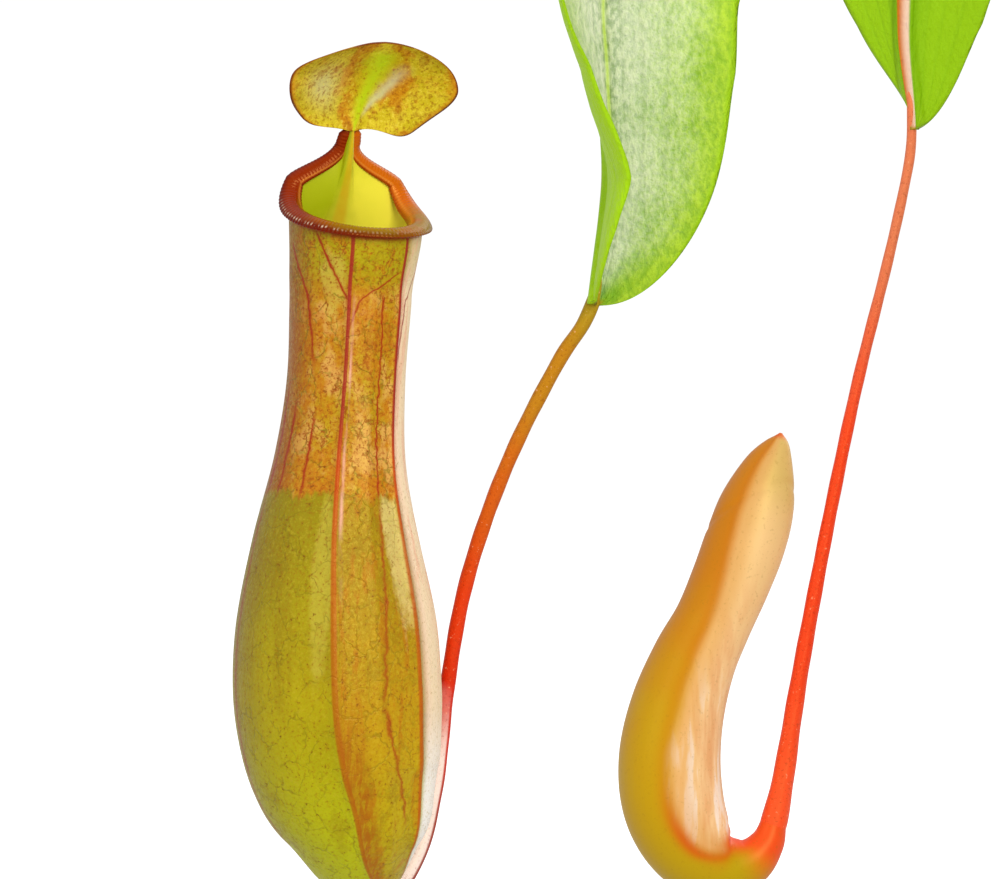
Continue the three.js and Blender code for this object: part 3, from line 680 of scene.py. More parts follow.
# %% [markdown]
# ## The stem
#
# The stem winds a little from leaf to leaf. It is woody and brown at its foot and green above. It is a
# rod on a smooth line, and a low slanting ring on it stands for the scar of each old leaf.

# %% Stem
STEM = {
    "foot": 4.3, "top": 2.2, "tip_from": 0.88, "tip_taper": 0.75,
    "scar_rise": 0.13, "scar_half": 1.2, "scar_slant": 1.2,
}
STEM_LINE = [
    (0, 0, 66), (0, 0, 100), (2, -1, 140), (-2, 2, 180),
    (1, 3, 220), (3, 0, 252), (2, -1, 276), (3, 0, 296),
]
SCARS = (108, 115, 130, 142, 154, 166, 178, 195, 210, 230, 243, 256)
stem_line = Line(STEM_LINE)


def stem_at(height):
    """The stem's centre at a height."""
    points = stem_line.at(np.linspace(0, 1, COURSE_STEPS))
    return points[np.argmin(abs(points[:, 2] - height))]


def stem_place(turn, t):
    angle = turn * math.tau
    centre = stem_line.at(t)
    taper = 1 - STEM["tip_taper"] * ease(t, STEM["tip_from"], 1)
    rings = 0
    for scar in SCARS:
        off_scar = centre[:, 2] - scar + STEM["scar_slant"] * np.cos(angle - scar)
        rings = rings + STEM["scar_rise"] * bell(off_scar, STEM["scar_half"])
    radius = mix(STEM["foot"], STEM["top"], t) * taper * (1 + rings)
    return centre + np.stack([np.cos(angle), np.sin(angle), 0 * t], -1) * radius[:, None]


stem = skin("leafy_stem", stem_place, "stem", "stem", columns=32, rows=260)
print("stem:", len(stem.data.polygons), "faces")

stem_finish = Finish("stem_green", Roughness=0.55)
_, along_stem = stem_finish.map()
fleck = stem_finish.noise(700, detail=3, stretch=(1, 1, 0.4))
tone = stem_finish.layered(
    "#6d4a26",
    ("#7f9a2c", (along_stem + fleck * 0.25).rise(0.3, 0.75)),
    ("#5b3a1c", fleck.rise(0.6, 0.75) * 0.5),
)
stem_finish.join("Base Color", tone)
stem_finish.relief(fleck, 0.0004)
painted(stem_finish, stem)

# %% [markdown]
# ## The plant's plan
#
# Three kinds of leaves share one stem. Two are laid out from listed points, because their tips hang in
# view: the leaf of the grown pitcher, and the leaf of the young one. Six more arch out on either side,
# each from a foot over a crest to its tip. The three youngest stand upright at the top.
#
# A plan holds a leaf's course, twist and fold, half of its width and the shape of its tip. It also
# holds the direction in which the tendril hangs out, and the size of what hangs there. A grown pitcher's
# plan has a drop, the share by which its tendril is longer, and a hooked tendril's has a curl, its size.
# All dimensions below are in millimetres, and directions in degrees round the stem.

# %% Leaf plan
RAD = math.pi / 180

GROWN_LEAF_LINE = [
    (-2, 2, 172), (-26, -15, 212), (-66, -39, 238), (-108, -64, 246), (-139, -82, 234),
    (-150, -89, 211), (-150, -90, 190), (-149.2, -90, 170), (-152.1, -90, 145.5),
]
GROWN_LEAF_FOLD = [  # distance from the tip, slope at the midrib, slope at the edge
    (0, 80, 104), (24, 87, 120), (38, 64, 116), (60, 46, 100), (105, 22, 40), (150, 14, -6),
]
GROWN_LEAF_FLAT = (14, -6)  # the same two slopes on its other half
SHUT_LEAF_LINE = [
    (1, 3, 216), (-16, 22, 252), (-40, 50, 270), (-64, 76, 262),
    (-76, 89, 238), (-78.5, 91, 214), (-76.2, 90, 190),
]
ARCHED_LEAVES = [
    dict(n=3, azimuth=338, foot=124, reach=150, crest=196, tip=143, half=24, size=0.93, turn=4, drop=1.02),
    dict(n=4, azimuth=52, foot=136, reach=142, crest=204, tip=148, half=25, size=0.86, turn=-8, drop=1.1),
    dict(n=5, azimuth=275, foot=148, reach=128, crest=214, tip=150, half=23, size=0.8, turn=10, drop=1.2),
    dict(n=6, azimuth=92, foot=160, reach=122, crest=232, tip=186, half=22, size=0.78, turn=0),
    dict(n=7, azimuth=14, foot=186, reach=132, crest=240, tip=196, half=23, size=0.62, turn=20),
    dict(n=8, azimuth=300, foot=204, reach=118, crest=256, tip=214, half=21, size=0.5, turn=-15),
]
YOUNG_LEAVES = [
    dict(n=9, azimuth=172, foot=226, reach=84, crest=288, tip=296, half=16, curl=26),
    dict(n=10, azimuth=58, foot=238, reach=66, crest=304, tip=318, half=14, curl=22),
    dict(n=11, azimuth=258, foot=250, reach=46, crest=306, tip=330, half=11, curl=18),
]
ARCH = {"shoulder": 0.27, "over_crest": 1.2}  # shares of the reach, and of the climb to the crest
ARCH_LEAD, YOUNG_LEAD = 1.04, 0.82  # where an arch turns down, as a share of its reach
ROUND_TIP = (0.5, 0.5)  # powers for the two sides of a leaf's tip: a larger one is more pointed


def arch_course(plan, lead):
    """A leaf's course from its foot on the stem over a crest to its tip, as one cubic curve."""
    azimuth, foot, reach = plan["azimuth"] * RAD, plan["foot"], plan["reach"]
    crest, tip = plan["crest"], plan["tip"]
    out = np.array([math.cos(azimuth), math.sin(azimuth), 0])
    base = stem_at(foot)
    rise = foot + ARCH["over_crest"] * (crest - foot)
    fall = (8 * crest - foot - tip - 3 * rise) / 3  # this puts the curve's middle at the crest
    level = np.array([1, 1, 0])
    shoulder = (base + ARCH["shoulder"] * reach * out) * level + (0, 0, rise)
    turn_down = out * lead * reach + (0, 0, fall)
    end = out * reach + (0, 0, tip)
    t = np.linspace(0, 1, COURSE_STEPS)[:, None]
    bend = 3 * (1 - t) ** 2 * t * shoulder + 3 * (1 - t) * t**2 * turn_down
    return Course((1 - t) ** 3 * base + bend + t**3 * end)


def even_fold(at_rib, at_edge):
    """A fold with the same slopes all along the leaf."""

    def fold(from_tip, side):
        return np.full_like(from_tip, at_rib * RAD), np.full_like(from_tip, at_edge * RAD)

    return fold


def grown_fold(from_tip, side):
    """One half of the grown leaf turns up and over, and the other lies flat."""
    far, at_rib, at_edge = np.array(GROWN_LEAF_FOLD).T
    turned_up = side < 0
    at_rib = np.where(turned_up, np.interp(from_tip, far, at_rib), GROWN_LEAF_FLAT[0])
    at_edge = np.where(turned_up, np.interp(from_tip, far, at_edge), GROWN_LEAF_FLAT[1])
    return at_rib * RAD, at_edge * RAD


def turning(angle, start, end):
    """A leaf's twist about its own line, which grows between two shares of its length."""
    return lambda v: angle * ease(v, start, end)


plain_fold, young_fold = even_fold(20, -10), even_fold(34, 6)
leaves = [
    dict(
        n=1, course=Line(GROWN_LEAF_LINE).course(), azimuth=210.6 * RAD, half=27, tip_length=70,
        tip_powers=ROUND_TIP, wave=0.6, twist=turning(-56 * RAD, 0.35, 0.8), fold=grown_fold,
        hang=math.pi, size=1, drop=1,
    ),
    dict(
        n=2, course=Line(SHUT_LEAF_LINE).course(), azimuth=131 * RAD, half=24, tip_length=58,
        tip_powers=(0.65, 1.7), wave=0.6, twist=turning(61 * RAD, 0.35, 0.8), fold=plain_fold,
        hang=math.pi, size=1,
    ),
]
for plan in ARCHED_LEAVES:
    azimuth, turn = plan["azimuth"] * RAD, plan["turn"] * RAD
    leaves.append(
        dict(
            plan, course=arch_course(plan, ARCH_LEAD), azimuth=azimuth, tip_length=2.5 * plan["half"],
            tip_powers=ROUND_TIP, wave=1.2, twist=turning(turn, 0.3, 0.9), fold=plain_fold,
            hang=azimuth + turn,
        )
    )
for plan in YOUNG_LEAVES:
    leaves.append(
        dict(
            plan, course=arch_course(plan, YOUNG_LEAD), azimuth=plan["azimuth"] * RAD,
            tip_length=2.6 * plan["half"], tip_powers=ROUND_TIP, wave=0.8, twist=turning(0, 0.3, 0.9),
            fold=young_fold,
        )
    )
OPEN_LEAVES = [leaf for leaf in leaves if "drop" in leaf]
HOOKED_LEAVES = [leaf for leaf in leaves if "curl" in leaf]
SHUT_LEAVES = [leaf for leaf in leaves if leaf not in OPEN_LEAVES and leaf not in HOOKED_LEAVES]
print(f"plan: {len(leaves)} leaves, {sum(leaf['course'].length for leaf in leaves) / 1000:.2f} m of them")


def one_each(plans, name, place, slot, node, **grid):
    """A skin for each of several leaves, kept under the leaf's number."""
    made = {}
    for leaf in plans:
        n = leaf["n"]
        made[n] = skin(f"{name}_{n}", place(leaf), slot, f"{node}_{n}", **grid)
    print(f"{name}: {len(made)} of {len(made[n].data.polygons)} faces each")
    return made


# %% [markdown]
# ## Blades
#
# A blade is a thin closed skin. Its columns run across the upper face from edge to edge and back across
# the lower one, crowded at the midrib, where the shape changes fastest. Each half blade is an arc, so
# one slope at the midrib and one at the edge fold it. A groove marks the midrib above, and below it
# stands out as a round ridge that runs on into the tendril.

# %% Blades
BLADE = {
    "thickness": 0.6, "tip_half": 0.8, "ridge_half": 2.6, "ridge_foot": 3.2, "ridge_tip": 1.3,
    "groove": 0.35, "groove_half": 0.9, "quilt": 0.12, "quilt_length": 7, "quilt_from": 4, "ripples": 21,
}
STALK = {"share": 0.15, "half": 3.6}
CROWDING = {"columns": 1.5, "rows": 1.4}  # above 1, columns crowd at the midrib and rows at the tip


def leaf_axes(leaf, v):
    """The directions along a leaf, across it, and out of its upper face."""
    along = leaf["course"].along(v)
    side = np.array([-math.sin(leaf["azimuth"]), math.cos(leaf["azimuth"]), 0])
    level = square_to(np.broadcast_to(side, along.shape), along)
    twist = leaf["twist"](v)[:, None]
    across = level * np.cos(twist) + np.cross(along, level) * np.sin(twist)
    return along, across, np.cross(along, across)


def leaf_half_width(leaf, v, side):
    """From the stalk's half width to the blade's, and down to the tip."""
    length, half = leaf["course"].length, leaf["half"]
    near_tip = np.clip((1 - v) * length / leaf["tip_length"], 0, 1)
    tip = (1 - (1 - near_tip) ** 2) ** np.where(side < 0, *leaf["tip_powers"])
    body = mix(STALK["half"] / half, 1, ease(v, STALK["share"], 1 - leaf["tip_length"] / length))
    return np.maximum(BLADE["tip_half"], half * body * tip)


def blade_place(leaf):
    course = leaf["course"]

    def place(turn, row):
        walk = 1 - abs(4 * turn - 2)
        lower = turn > 0.5
        v = 1 - (1 - row) ** CROWDING["rows"]
        side, share = np.sign(walk), abs(walk) ** CROWDING["columns"]
        _, across, up = leaf_axes(leaf, v)
        width = leaf_half_width(leaf, v, side)
        first, last = leaf["fold"]((1 - v) * course.length, side)
        bend = last - first
        slope = first + bend * share
        out = width * (np.sin(slope) - np.sin(first)) / bend
        lift = width * (np.cos(first) - np.cos(slope)) / bend
        ripple = leaf["wave"] * share**2 * ease(v, 0.2, 0.5) * np.sin(v * BLADE["ripples"] + side)
        normal = up * np.cos(slope)[:, None] - across * (side * np.sin(slope))[:, None]
        point = course.at(v) + across * (side * out)[:, None] + up * (lift + ripple)[:, None]
        from_rib = share * width
        thin = np.sqrt(np.clip(1 - share**8, 0, 1)) * BLADE["thickness"]
        ridge = mix(BLADE["ridge_foot"], BLADE["ridge_tip"], v)
        ridge = ridge * np.sqrt(np.clip(1 - (from_rib / BLADE["ridge_half"]) ** 2, 0, 1))
        groove = BLADE["groove"] * bell(from_rib, BLADE["groove_half"]) * ease(v, 1.0, 0.9)
        spots = np.stack([from_rib * side, v * course.length], -1)
        quilt = BLADE["quilt"] * waves(spots, BLADE["quilt_length"], leaf["n"])
        quilt = quilt * np.minimum(1, from_rib / BLADE["quilt_from"])
        return point - normal * (np.where(lower, thin + ridge, groove) + quilt)[:, None]

    return place


blades = one_each(leaves, "blade", blade_place, "leaf", "leaf", columns=88, rows=150)

# %% [markdown]
# The upper face is green under a greyish sheen, a painted reflection that lies in patches and fades
# towards the edge and the tip. Fine wrinkles darken it beside the midrib, the midrib's groove is pale,
# and the margin is a thin line of yellow-green. The lower face is a clear lime green, and its midrib is
# peach on one side and orange on the other: painted light on one side and painted shade on the other.
# On the map the first half of the turn lies above and the second below. The leaf of the grown pitcher
# has the strongest painted sheen and an underside painted brighter, as painted light, so one function
# makes two finishes.

# %% Leaf finish
def leaf_finish(name, bloom, lower_dark, lower_bright):
    """Bloom is how strongly the painted sheen, a painted reflection, covers the upper face."""
    finish = Finish(name, Roughness=0.4, Specular_IOR_Level=0.45, Specular_Tint=GREEN_SHEEN)
    across_map, along_map = finish.map()
    walk = 1 - abs(across_map * 4 - 2)
    from_rib = abs(walk)
    under = across_map.rise(0.4999, 0.5001)
    cloud = finish.noise(45, detail=4)
    leather = finish.noise(900, detail=5, stretch=(1, 1, 0.6), rough=0.6)
    speck = finish.noise(1400, detail=4, rough=0.7)
    veins = ((from_rib * 34).sine() * 0.5 + 0.5) ** 6
    # painted reflection: where the greyish sheen lies, in patches that fade towards the edge and the tip
    sheen_patches = cloud * 0.7 + leather * 0.35 + speck * 0.55 + from_rib.bell(0.25, 0.4) * 0.3
    sheen_fade = (along_map + from_rib * 0.11).rise(1.03, 0.93) * from_rib.rise(0.98, 0.7)
    wrinkles = leather.rise(0.58, 0.36) * from_rib.bell(0.08, 0.22)
    top = finish.layered(
        "#92b62c",
        ("#b0d02c", (cloud + from_rib * 0.3).rise(0.3, 0.85)),
        ("#5c961c", leather.rise(0.64, 0.36) * 0.5),
        ("#faf0f2", sheen_patches.rise(0.55, 1.3) * sheen_fade * bloom),
        ("#4c7a30", wrinkles * 0.4 + speck.rise(0.56, 0.68) * 0.28 + veins * 0.06),
        # painted shade: a darker green near the tip, away from the margin
        ("#5a9614", along_map.rise(0.93, 0.985) * from_rib.rise(0.9, 0.5) * 0.6),
    )
    # painted light and shade: the midrib is peach on its lit side and orange on the other
    midrib = finish.blend("#f6cdb8", "#d86c10", walk.rise(-0.06, 0.06))
    bottom = finish.layered(
        lower_dark,
        (lower_bright, (from_rib + cloud * 0.3).rise(0.1, 0.75)),
        ("#6aa80a", veins * 0.12),
        (midrib, from_rib.rise(0.17, 0.102) * along_map.rise(0.05, 0.3)),
    )
    tone = finish.layered(
        top,
        (bottom, under),
        ("#a2d210", from_rib.rise(0.95, 0.99) * 0.85),
        ("#b2cc38", from_rib.bell(0, 0.045) * (1 - under) * 0.75),
        ("#b08a1c", along_map.rise(0.975, 0.995) * from_rib.rise(0.6, 0.3)),
    )
    finish.join("Base Color", tone)
    finish.join("Roughness", 0.3 + speck.rise(0.3, 0.8) * 0.18 + under * 0.12)
    finish.relief(leather * 0.9 + speck * 0.3 - veins * 0.15, 0.0008, 0.7)
    return finish


# the grown leaf gets a strong painted sheen and an underside painted brighter; the others a faint painted
# sheen
leaf_painted_sheen = leaf_finish("leaf_painted_sheen", 0.62, "#94cc04", "#b4e804")
leaf_green = leaf_finish("leaf_green", 0.16, "#78ae04", "#96c606")
grown_blade, *other_blades = blades.values()
painted(leaf_painted_sheen, grown_blade)
painted(leaf_green, *other_blades)

# %% [markdown]
# ## Tendrils
#
# A tendril is the midrib running on beyond the blade. So its line starts under the blade's last stretch
# and leaves it without a step. It thickens towards the pitcher. The hanging ones share one line each
# for grown and young pitchers, turned to the leaf and scaled, and the youngest only hook over.

# %% Tendrils
TENDRIL_LINE = [
    (0, 0, 0), (2.4, 0.4, -3.2), (7.3, 1.2, -10.7), (15.4, 3, -26.3), (21.7, 5.5, -41.9),
    (26.3, 8, -57.5), (29.3, 10, -75.1), (31.2, 11, -92), (33.8, 10, -104.5), (36.7, 7.6, -110.9),
    (39.2, 4.5, -113.9),
]
TENDRIL_RADII = (1.4, 1.8)
YOUNG_PITCHER_TENDRIL_LINE = [
    (0, 0, 0), (0.9, 0, -3.4), (2.3, 0, -12.3), (6.3, 0, -30.3), (13, 0, -57.2),
    (18.7, 0, -84.1), (23.9, 0, -111), (27.1, 0, -129.1), (30, 0, -147.5), (32.1, 0, -157.6),
]
YOUNG_PITCHER_TENDRIL_RADII = (1.15, 3.1)
HOOK_LINE = [  # shares of the curl: onward from the tip, away from the stem, down
    (0, 0, 0), (0.35, 0.02, 0), (0.8, 0.15, 0), (1.12, 0.45, 0.1), (1.15, 0.85, 0.45), (1.05, 0.95, 0.95),
]
HOOK_RADII = (1.1, 1.3)
CUP_LINE = [  # out, back, up and the radius, as seen from the leaf's tip
    (40.0, 3.9, -114.1, 2.2), (42.4, 2.3, -112.4, 6.4), (44.7, 0.9, -107.6, 10.9), (46.4, 0, -100.6, 15.0),
    (48.5, 0, -92.6, 18.2), (50.0, 0, -83.6, 19.8), (50.7, 0, -74.0, 20.3), (50.9, 0, -61.4, 19.5),
    (50.9, 0, -45.8, 16.4), (50.1, 0, -30.2, 12.9), (48.9, 0, -14.6, 11.6), (48.0, 0, 1.0, 11.9),
]
YOUNG_LINE = [  # the same for a young pitcher, up from its hook
    (32.2, 0, -158.0, 3.3), (33.8, 0, -162.8, 4.0), (37.4, 0, -166.8, 5.6), (43.2, 0, -168.2, 7.8),
    (49.0, 0, -165.4, 9.8), (53.2, 0, -159.6, 11.2), (55.6, 0, -152.0, 11.9), (56.0, 0, -142.5, 11.8),
    (54.2, 0, -131.9, 11.0), (50.6, 0, -121.4, 9.9), (46.2, 0, -112.4, 9.1), (42.2, 0, -103.2, 9.3),
    (38.8, 0, -94.2, 9.5), (36.0, 0, -85.5, 8.8), (33.4, 0, -77.3, 6.2), (31.3, 0, -71.8, 3.0),
    (30.6, 0, -69.2, 0.3),
]


def hanger(leaf):
    """Turns out, back and up from a leaf's tip into places in the frame."""
    tip = leaf["course"].points[-1]
    out = np.array([math.cos(leaf["hang"]), math.sin(leaf["hang"]), 0])
    back = np.array([math.sin(leaf["hang"]), -math.cos(leaf["hang"]), 0])
    axes = np.array([out, back, (0, 0, 1)]) * leaf["size"]
    return lambda points: tip + np.asarray(points, float) @ axes


def cup_hanger(leaf):
    """As hanger, lowered by what a longer tendril adds."""
    place = hanger(leaf)
    lowered = np.array([0, 0, (leaf["drop"] - 1) * CUP_LINE[0][2]])
    return lambda points: place(np.asarray(points, float) + lowered)


UNDER_BLADE = (16, 10, 5)  # where a tendril's first stations lie, as distances from the blade's tip
MIDRIB_DEPTH = 1.1
INSIDE_YOUNG = 5  # the length of a tendril's end that is hidden in a young pitcher
MAP_SIDE = np.array([0.31, 0.95, 0.02])  # the direction from which a tendril's map is counted


def under_blade(leaf):
    """The midrib's centre under the last stretch of a blade."""
    v = 1 - np.array(UNDER_BLADE) / leaf["course"].length
    _, _, up = leaf_axes(leaf, v)
    return leaf["course"].at(v) - up * MIDRIB_DEPTH


def tendril_stations(leaf):
    """The hanging or hooked line, and its radii at the start and the end."""
    if leaf in HOOKED_LEAVES:
        tip = leaf["course"].points[-1]
        onward = leaf["course"].along(np.array([1.0]))[0]
        away = np.array([math.cos(leaf["azimuth"]), math.sin(leaf["azimuth"]), 0])
        axes = np.array([onward, away, (0, 0, -1)]) * leaf["curl"]
        return tip + np.array(HOOK_LINE) @ axes, HOOK_RADII
    if leaf in OPEN_LEAVES:
        longer = np.array(TENDRIL_LINE) * (1, 1, leaf["drop"])
        foot = cup_hanger(leaf)([CUP_LINE[0][:3]])
        return np.vstack([hanger(leaf)(longer), foot]), np.array(TENDRIL_RADII) * leaf["size"]
    points = hanger(leaf)(YOUNG_PITCHER_TENDRIL_LINE)
    foot = hanger(leaf)([YOUNG_LINE[1][:3]])
    return np.vstack([points, foot]), np.array(YOUNG_PITCHER_TENDRIL_RADII) * leaf["size"]


def tendril_place(leaf):
    stations, radii = tendril_stations(leaf)
    course = Line(np.vstack([under_blade(leaf), stations[1:]])).course()
    blade_share = UNDER_BLADE[0] / course.length
    hidden = INSIDE_YOUNG * leaf["size"] if leaf in SHUT_LEAVES else 0
    swelling = 1 - hidden / course.length - blade_share

    def place(turn, v):
        angle = turn * math.tau
        along = course.along(v)
        side = square_to(np.broadcast_to(MAP_SIDE, along.shape), along)
        t = np.clip((v - blade_share) / swelling, 0, 1)
        swollen = 0.5 * t**1.5 + 0.5 * t**10  # slowly at first, and more at the foot
        uneven = 1 + 0.03 * np.sin(v * 90) * np.cos(angle * 2)
        radius = mix(*radii, swollen) * uneven * mix(0.4, 1, ease(v, 0, blade_share))
        if leaf in HOOKED_LEAVES:
            radius = radius * np.sqrt(np.clip((1 - v) / 0.02, 0.0004, 1))  # a round end
        ring = side * np.cos(angle)[:, None] + np.cross(along, side) * np.sin(angle)[:, None]
        return course.at(v) + ring * radius[:, None]

    return place


tendrils = one_each(leaves, "tendril_skin", tendril_place, "tendril", "tendril", columns=20, rows=170)

# %% [markdown]
# A grown pitcher's tendril leaves its leaf olive, turns orange over its first stretch and is deep red
# from the middle down. Near its foot it turns darker red, and a pale painted highlight, as pale as the
# pitcher's lit side, covers all of it but one dark red line. The others are salmon at the top and
# orange-red below. Tiny pale and dark dots cover them all.

# %% Tendril finishes
def tendril_finish(name, first, others, painted_light_foot=False):
    """The first colour, then the others, each with the length shares over which it takes over."""
    finish = Finish(name, Roughness=0.42, Specular_IOR_Level=0.45, Specular_Tint=WARM_SHEEN)
    turn_map, along_tendril = finish.map()
    fleck = finish.noise(1500, detail=3)
    cloud = finish.noise(120, detail=3)
    place = along_tendril + cloud * 0.08 - 0.04
    tone = finish.layered(first, *[(code, place.rise(low, high)) for code, low, high in others])
    # painted highlight: near the foot the tendril turns pale, all but one dark red line
    if painted_light_foot:
        highlight_off_line = (turn_map * math.tau).sine().rise(0.97, 0.8)
        tone = finish.layered(
            tone,
            ("#8a3426", place.rise(0.76, 0.88) * 0.75),
            ("#f6e2d4", highlight_off_line * place.rise(0.68, 0.8) * 0.92),
        )
    dots = [("#ffb98a", fleck.rise(0.64, 0.74) * 0.5), ("#7a1204", fleck.rise(0.42, 0.34) * 0.3)]
    finish.join("Base Color", finish.layered(tone, *dots))
    finish.relief(fleck, 0.0003, 0.4)
    return finish


grown_reds = [
    ("#b87810", 0.08, 0.2), ("#cc540c", 0.25, 0.42), ("#dc300a", 0.42, 0.58), ("#d01804", 0.58, 0.72),
    ("#b81a0c", 0.86, 0.97),
]
young_reds = [("#f8401c", 0.2, 0.5), ("#ff5428", 0.75, 0.95)]
tendril_red = tendril_finish("tendril_red", "#9a8a14", grown_reds, painted_light_foot=True)
tendril_salmon = tendril_finish("tendril_salmon", "#ec7c54", young_reds)
painted(tendril_red, *[tendrils[leaf["n"]] for leaf in OPEN_LEAVES])
painted(tendril_salmon, *[tendrils[leaf["n"]] for leaf in SHUT_LEAVES + HOOKED_LEAVES])

# %% [markdown]
# ## Open pitchers
#
# A grown pitcher's cup is round at its belly, slim at its waist and drawn up at the back of its mouth
# into a neck. Two ribs run down its front. One skin makes it: up the outside, over the lip and down the
# inside to the floor of the cup. Below the throat its rings follow the cup's line, and above it they
# turn into the outline of the mouth.

# %% Cups
CUP = {
    "facing": 26 * RAD, "wall": 0.9, "throat": 0.78, "floor": 0.25, "unevenness": (0.22, 0.06),
    "rib_angle": 25.5 * RAD, "rib_height": 0.8, "keel_height": 0.25,
}
MOUTH = {
    "centre": (47.3, 0), "half": 12.7, "front": 13.7, "depth": 27, "lean": 13, "lip": 13.8, "slope": 8.5,
    "neck_rise": 13.6, "pinch": 0.83, "pinch_from": 0.77, "pinch_to": 0.935, "tilt": 78 * RAD,
    "open": 164 * RAD,
}
RIM = {
    "outward": (2.4, 1.6), "inward": (2.5, 1.0), "narrow_from": 0.55, "narrow_to": 1.0,
    "half_thickness": (0.8, 0.6), "roll": (0.19, 0.05), "flat_from": 0.5, "flat_to": 0.85,
    "seat": (0.6, 0.4), "ribs": 124, "ripple": (0.015, 0.035), "point": 0.03,
}
LID_FACING = 25 * RAD
cup_line = Line(CUP_LINE)


def facing_axes(facing):
    """The cup's own side, front and up, in out, back and up."""
    side = (-math.cos(facing), math.sin(facing), 0)
    front = (-math.sin(facing), -math.cos(facing), 0)
    return np.array([side, front, (0, 0, 1)])


def from_cup(points):
    """Turns side, front and up of the mouth into out, back and up."""
    return np.array([*MOUTH["centre"], 0]) + points @ facing_axes(LID_FACING)


def behind_front(angle):
    """0 at the front of the mouth and 1 at its back."""
    return (1 - np.cos(angle)) / 2


def mouth_points(angle):
    """The mouth's line at angles from its front, in out, back and up."""
    c = behind_front(angle)
    pinch = 1 - MOUTH["pinch"] * ease(c, MOUTH["pinch_from"], MOUTH["pinch_to"])
    side = MOUTH["half"] * np.sin(angle) * pinch
    front = MOUTH["front"] - MOUTH["depth"] * c + MOUTH["lean"] * c**6
    up = MOUTH["lip"] + MOUTH["slope"] * c + MOUTH["neck_rise"] * c**5
    return from_cup(np.stack([side, front, up], -1))


def mouth_axes(angle):
    """The directions across the rim, out of its face, and through the wall, all turned at the neck."""
    along = unit(mouth_points(angle + 0.02) - mouth_points(angle - 0.02))
    tilt = MOUTH["tilt"] * behind_front(angle) ** 1.5
    face = np.stack([0 * tilt, np.sin(tilt), np.cos(tilt)], -1) @ facing_axes(LID_FACING)
    outward = unit(np.cross(face, along))
    out_of_face = np.cross(along, outward)
    behind = outward * np.cos(tilt)[:, None] - out_of_face * np.sin(tilt)[:, None]
    return outward, out_of_face, behind


def ring_axes(line, t, facing):
    """The side and front directions of the rings on a line."""
    along = unit(line.at(np.minimum(1, t + 0.01))[:, :3] - line.at(np.maximum(0, t - 0.01))[:, :3])
    side = np.broadcast_to(np.array([-math.cos(facing), math.sin(facing), 0]), along.shape)
    side = square_to(side, along)
    return side, -np.cross(side, along)


CUP_ROWS = {"foot": 0.02, "lip": 0.56, "inside": 0.58, "floor": 0.97}  # up outside, down inside


def cup_place(leaf):
    hang = cup_hanger(leaf)
    rows = CUP_ROWS

    def place(turn, row):
        angle = (turn - 0.5) * math.tau
        t = np.interp(row, list(rows.values()), [0, 1, 1, CUP["floor"]])
        inner = np.interp(row, [rows["lip"], rows["inside"]], [0, 1])
        closing = np.sqrt(np.interp(row, [0, rows["foot"], rows["floor"], 1], [0, 1, 1, 0]))
        below = np.minimum(1, t / CUP["throat"])
        centre = cup_line.at(below)
        off_rib = abs(angle) - CUP["rib_angle"]
        rib = CUP["rib_height"] * (0.75 * bell(off_rib, 0.045) + 0.35 * bell(off_rib, 0.12))
        rib = (rib + CUP["keel_height"] * bell(angle, 0.05)) * ease(t, 0.06, 0.2) * (1 - inner)
        spots = np.stack([np.cos(angle) * 12, np.sin(angle) * 12, t * 150], -1)  # about in mm
        broad, small = CUP["unevenness"]
        uneven = broad * waves(spots, 34, leaf["n"]) + small * waves(spots, 9, leaf["n"] + 20)
        radius = (centre[:, 3] + rib + uneven * ease(t, 0, 0.2) - CUP["wall"] * inner) * closing
        side, front = ring_axes(cup_line, below, CUP["facing"])
        sideways, forward = radius * np.sin(angle), radius * np.cos(angle)
        ring = centre[:, :3] + side * sideways[:, None] + front * forward[:, None]
        _, out_of_face, through = mouth_axes(angle)
        seat = mix(*RIM["seat"], ease(behind_front(angle), RIM["flat_from"], RIM["flat_to"]))
        lip = mouth_points(angle) - out_of_face * seat[:, None]
        lip = lip + through * (CUP["wall"] * (0.5 - inner))[:, None]
        share = np.clip((t - CUP["throat"]) / (1 - CUP["throat"]), 0, 1)
        flat = ease(share, 0, 1)
        return hang(mix(ring, lip, np.stack([flat, flat, share], -1)))

    return place


cups = one_each(OPEN_LEAVES, "cup", cup_place, "pitcher", "pitcher", columns=176, rows=300)

# %% [markdown]
# The cup's finish is the richest one, so it is made in steps. First come its maps: the turn from the
# cup's front, the height share, and where its inside starts. Then come its noises, from slow clouds to
# fine grain, and a net of dark lines. The hip, where the belly ends and the waist starts, changes the
# colours at a stroke.

# %% Cup maps
cup_skin = Finish("cup_skin", Roughness=0.38, Specular_IOR_Level=0.5, Specular_Tint=WARM_SHEEN)
turn_map, row_map = cup_skin.map()
angle = (turn_map - 0.5) * math.tau
climb = (row_map - CUP_ROWS["foot"]) / (CUP_ROWS["lip"] - CUP_ROWS["foot"])
inside = row_map.rise(0.565, 0.575)  # between the lip's row and the first row inside
outside = 1 - inside
cloud = cup_skin.noise(60, detail=4)
mottle = cup_skin.noise(330, detail=6, stretch=(1, 1, 0.7), rough=0.7)
grain = cup_skin.noise(1400, detail=4, rough=0.75)
streak = cup_skin.noise(420, detail=5, stretch=(1, 1, 0.12))
netting = cup_skin.net(215, stretch=(1, 1, 0.8), wobble=0.0035).rise(0.05, 0.0) * mottle.rise(0.35, 0.6)
hip = (climb + cloud * 0.02 + streak * 0.03).rise(0.627, 0.634)
from_left_rib, from_right_rib = angle + CUP["rib_angle"], angle - CUP["rib_angle"]
panel = from_left_rib.rise(-0.03, 0.03) * from_right_rib.rise(0.03, -0.03)
print("cup maps:", len(cup_skin.tree.nodes), "nodes")

# %% [markdown]
# Below the hip the cup is olive and yellow-green with faint upright bands, and golden between its two
# ribs. Above the hip it is ochre and brown in blotches, under a crackle of fine red lines. Towards the
# mouth it turns olive again.

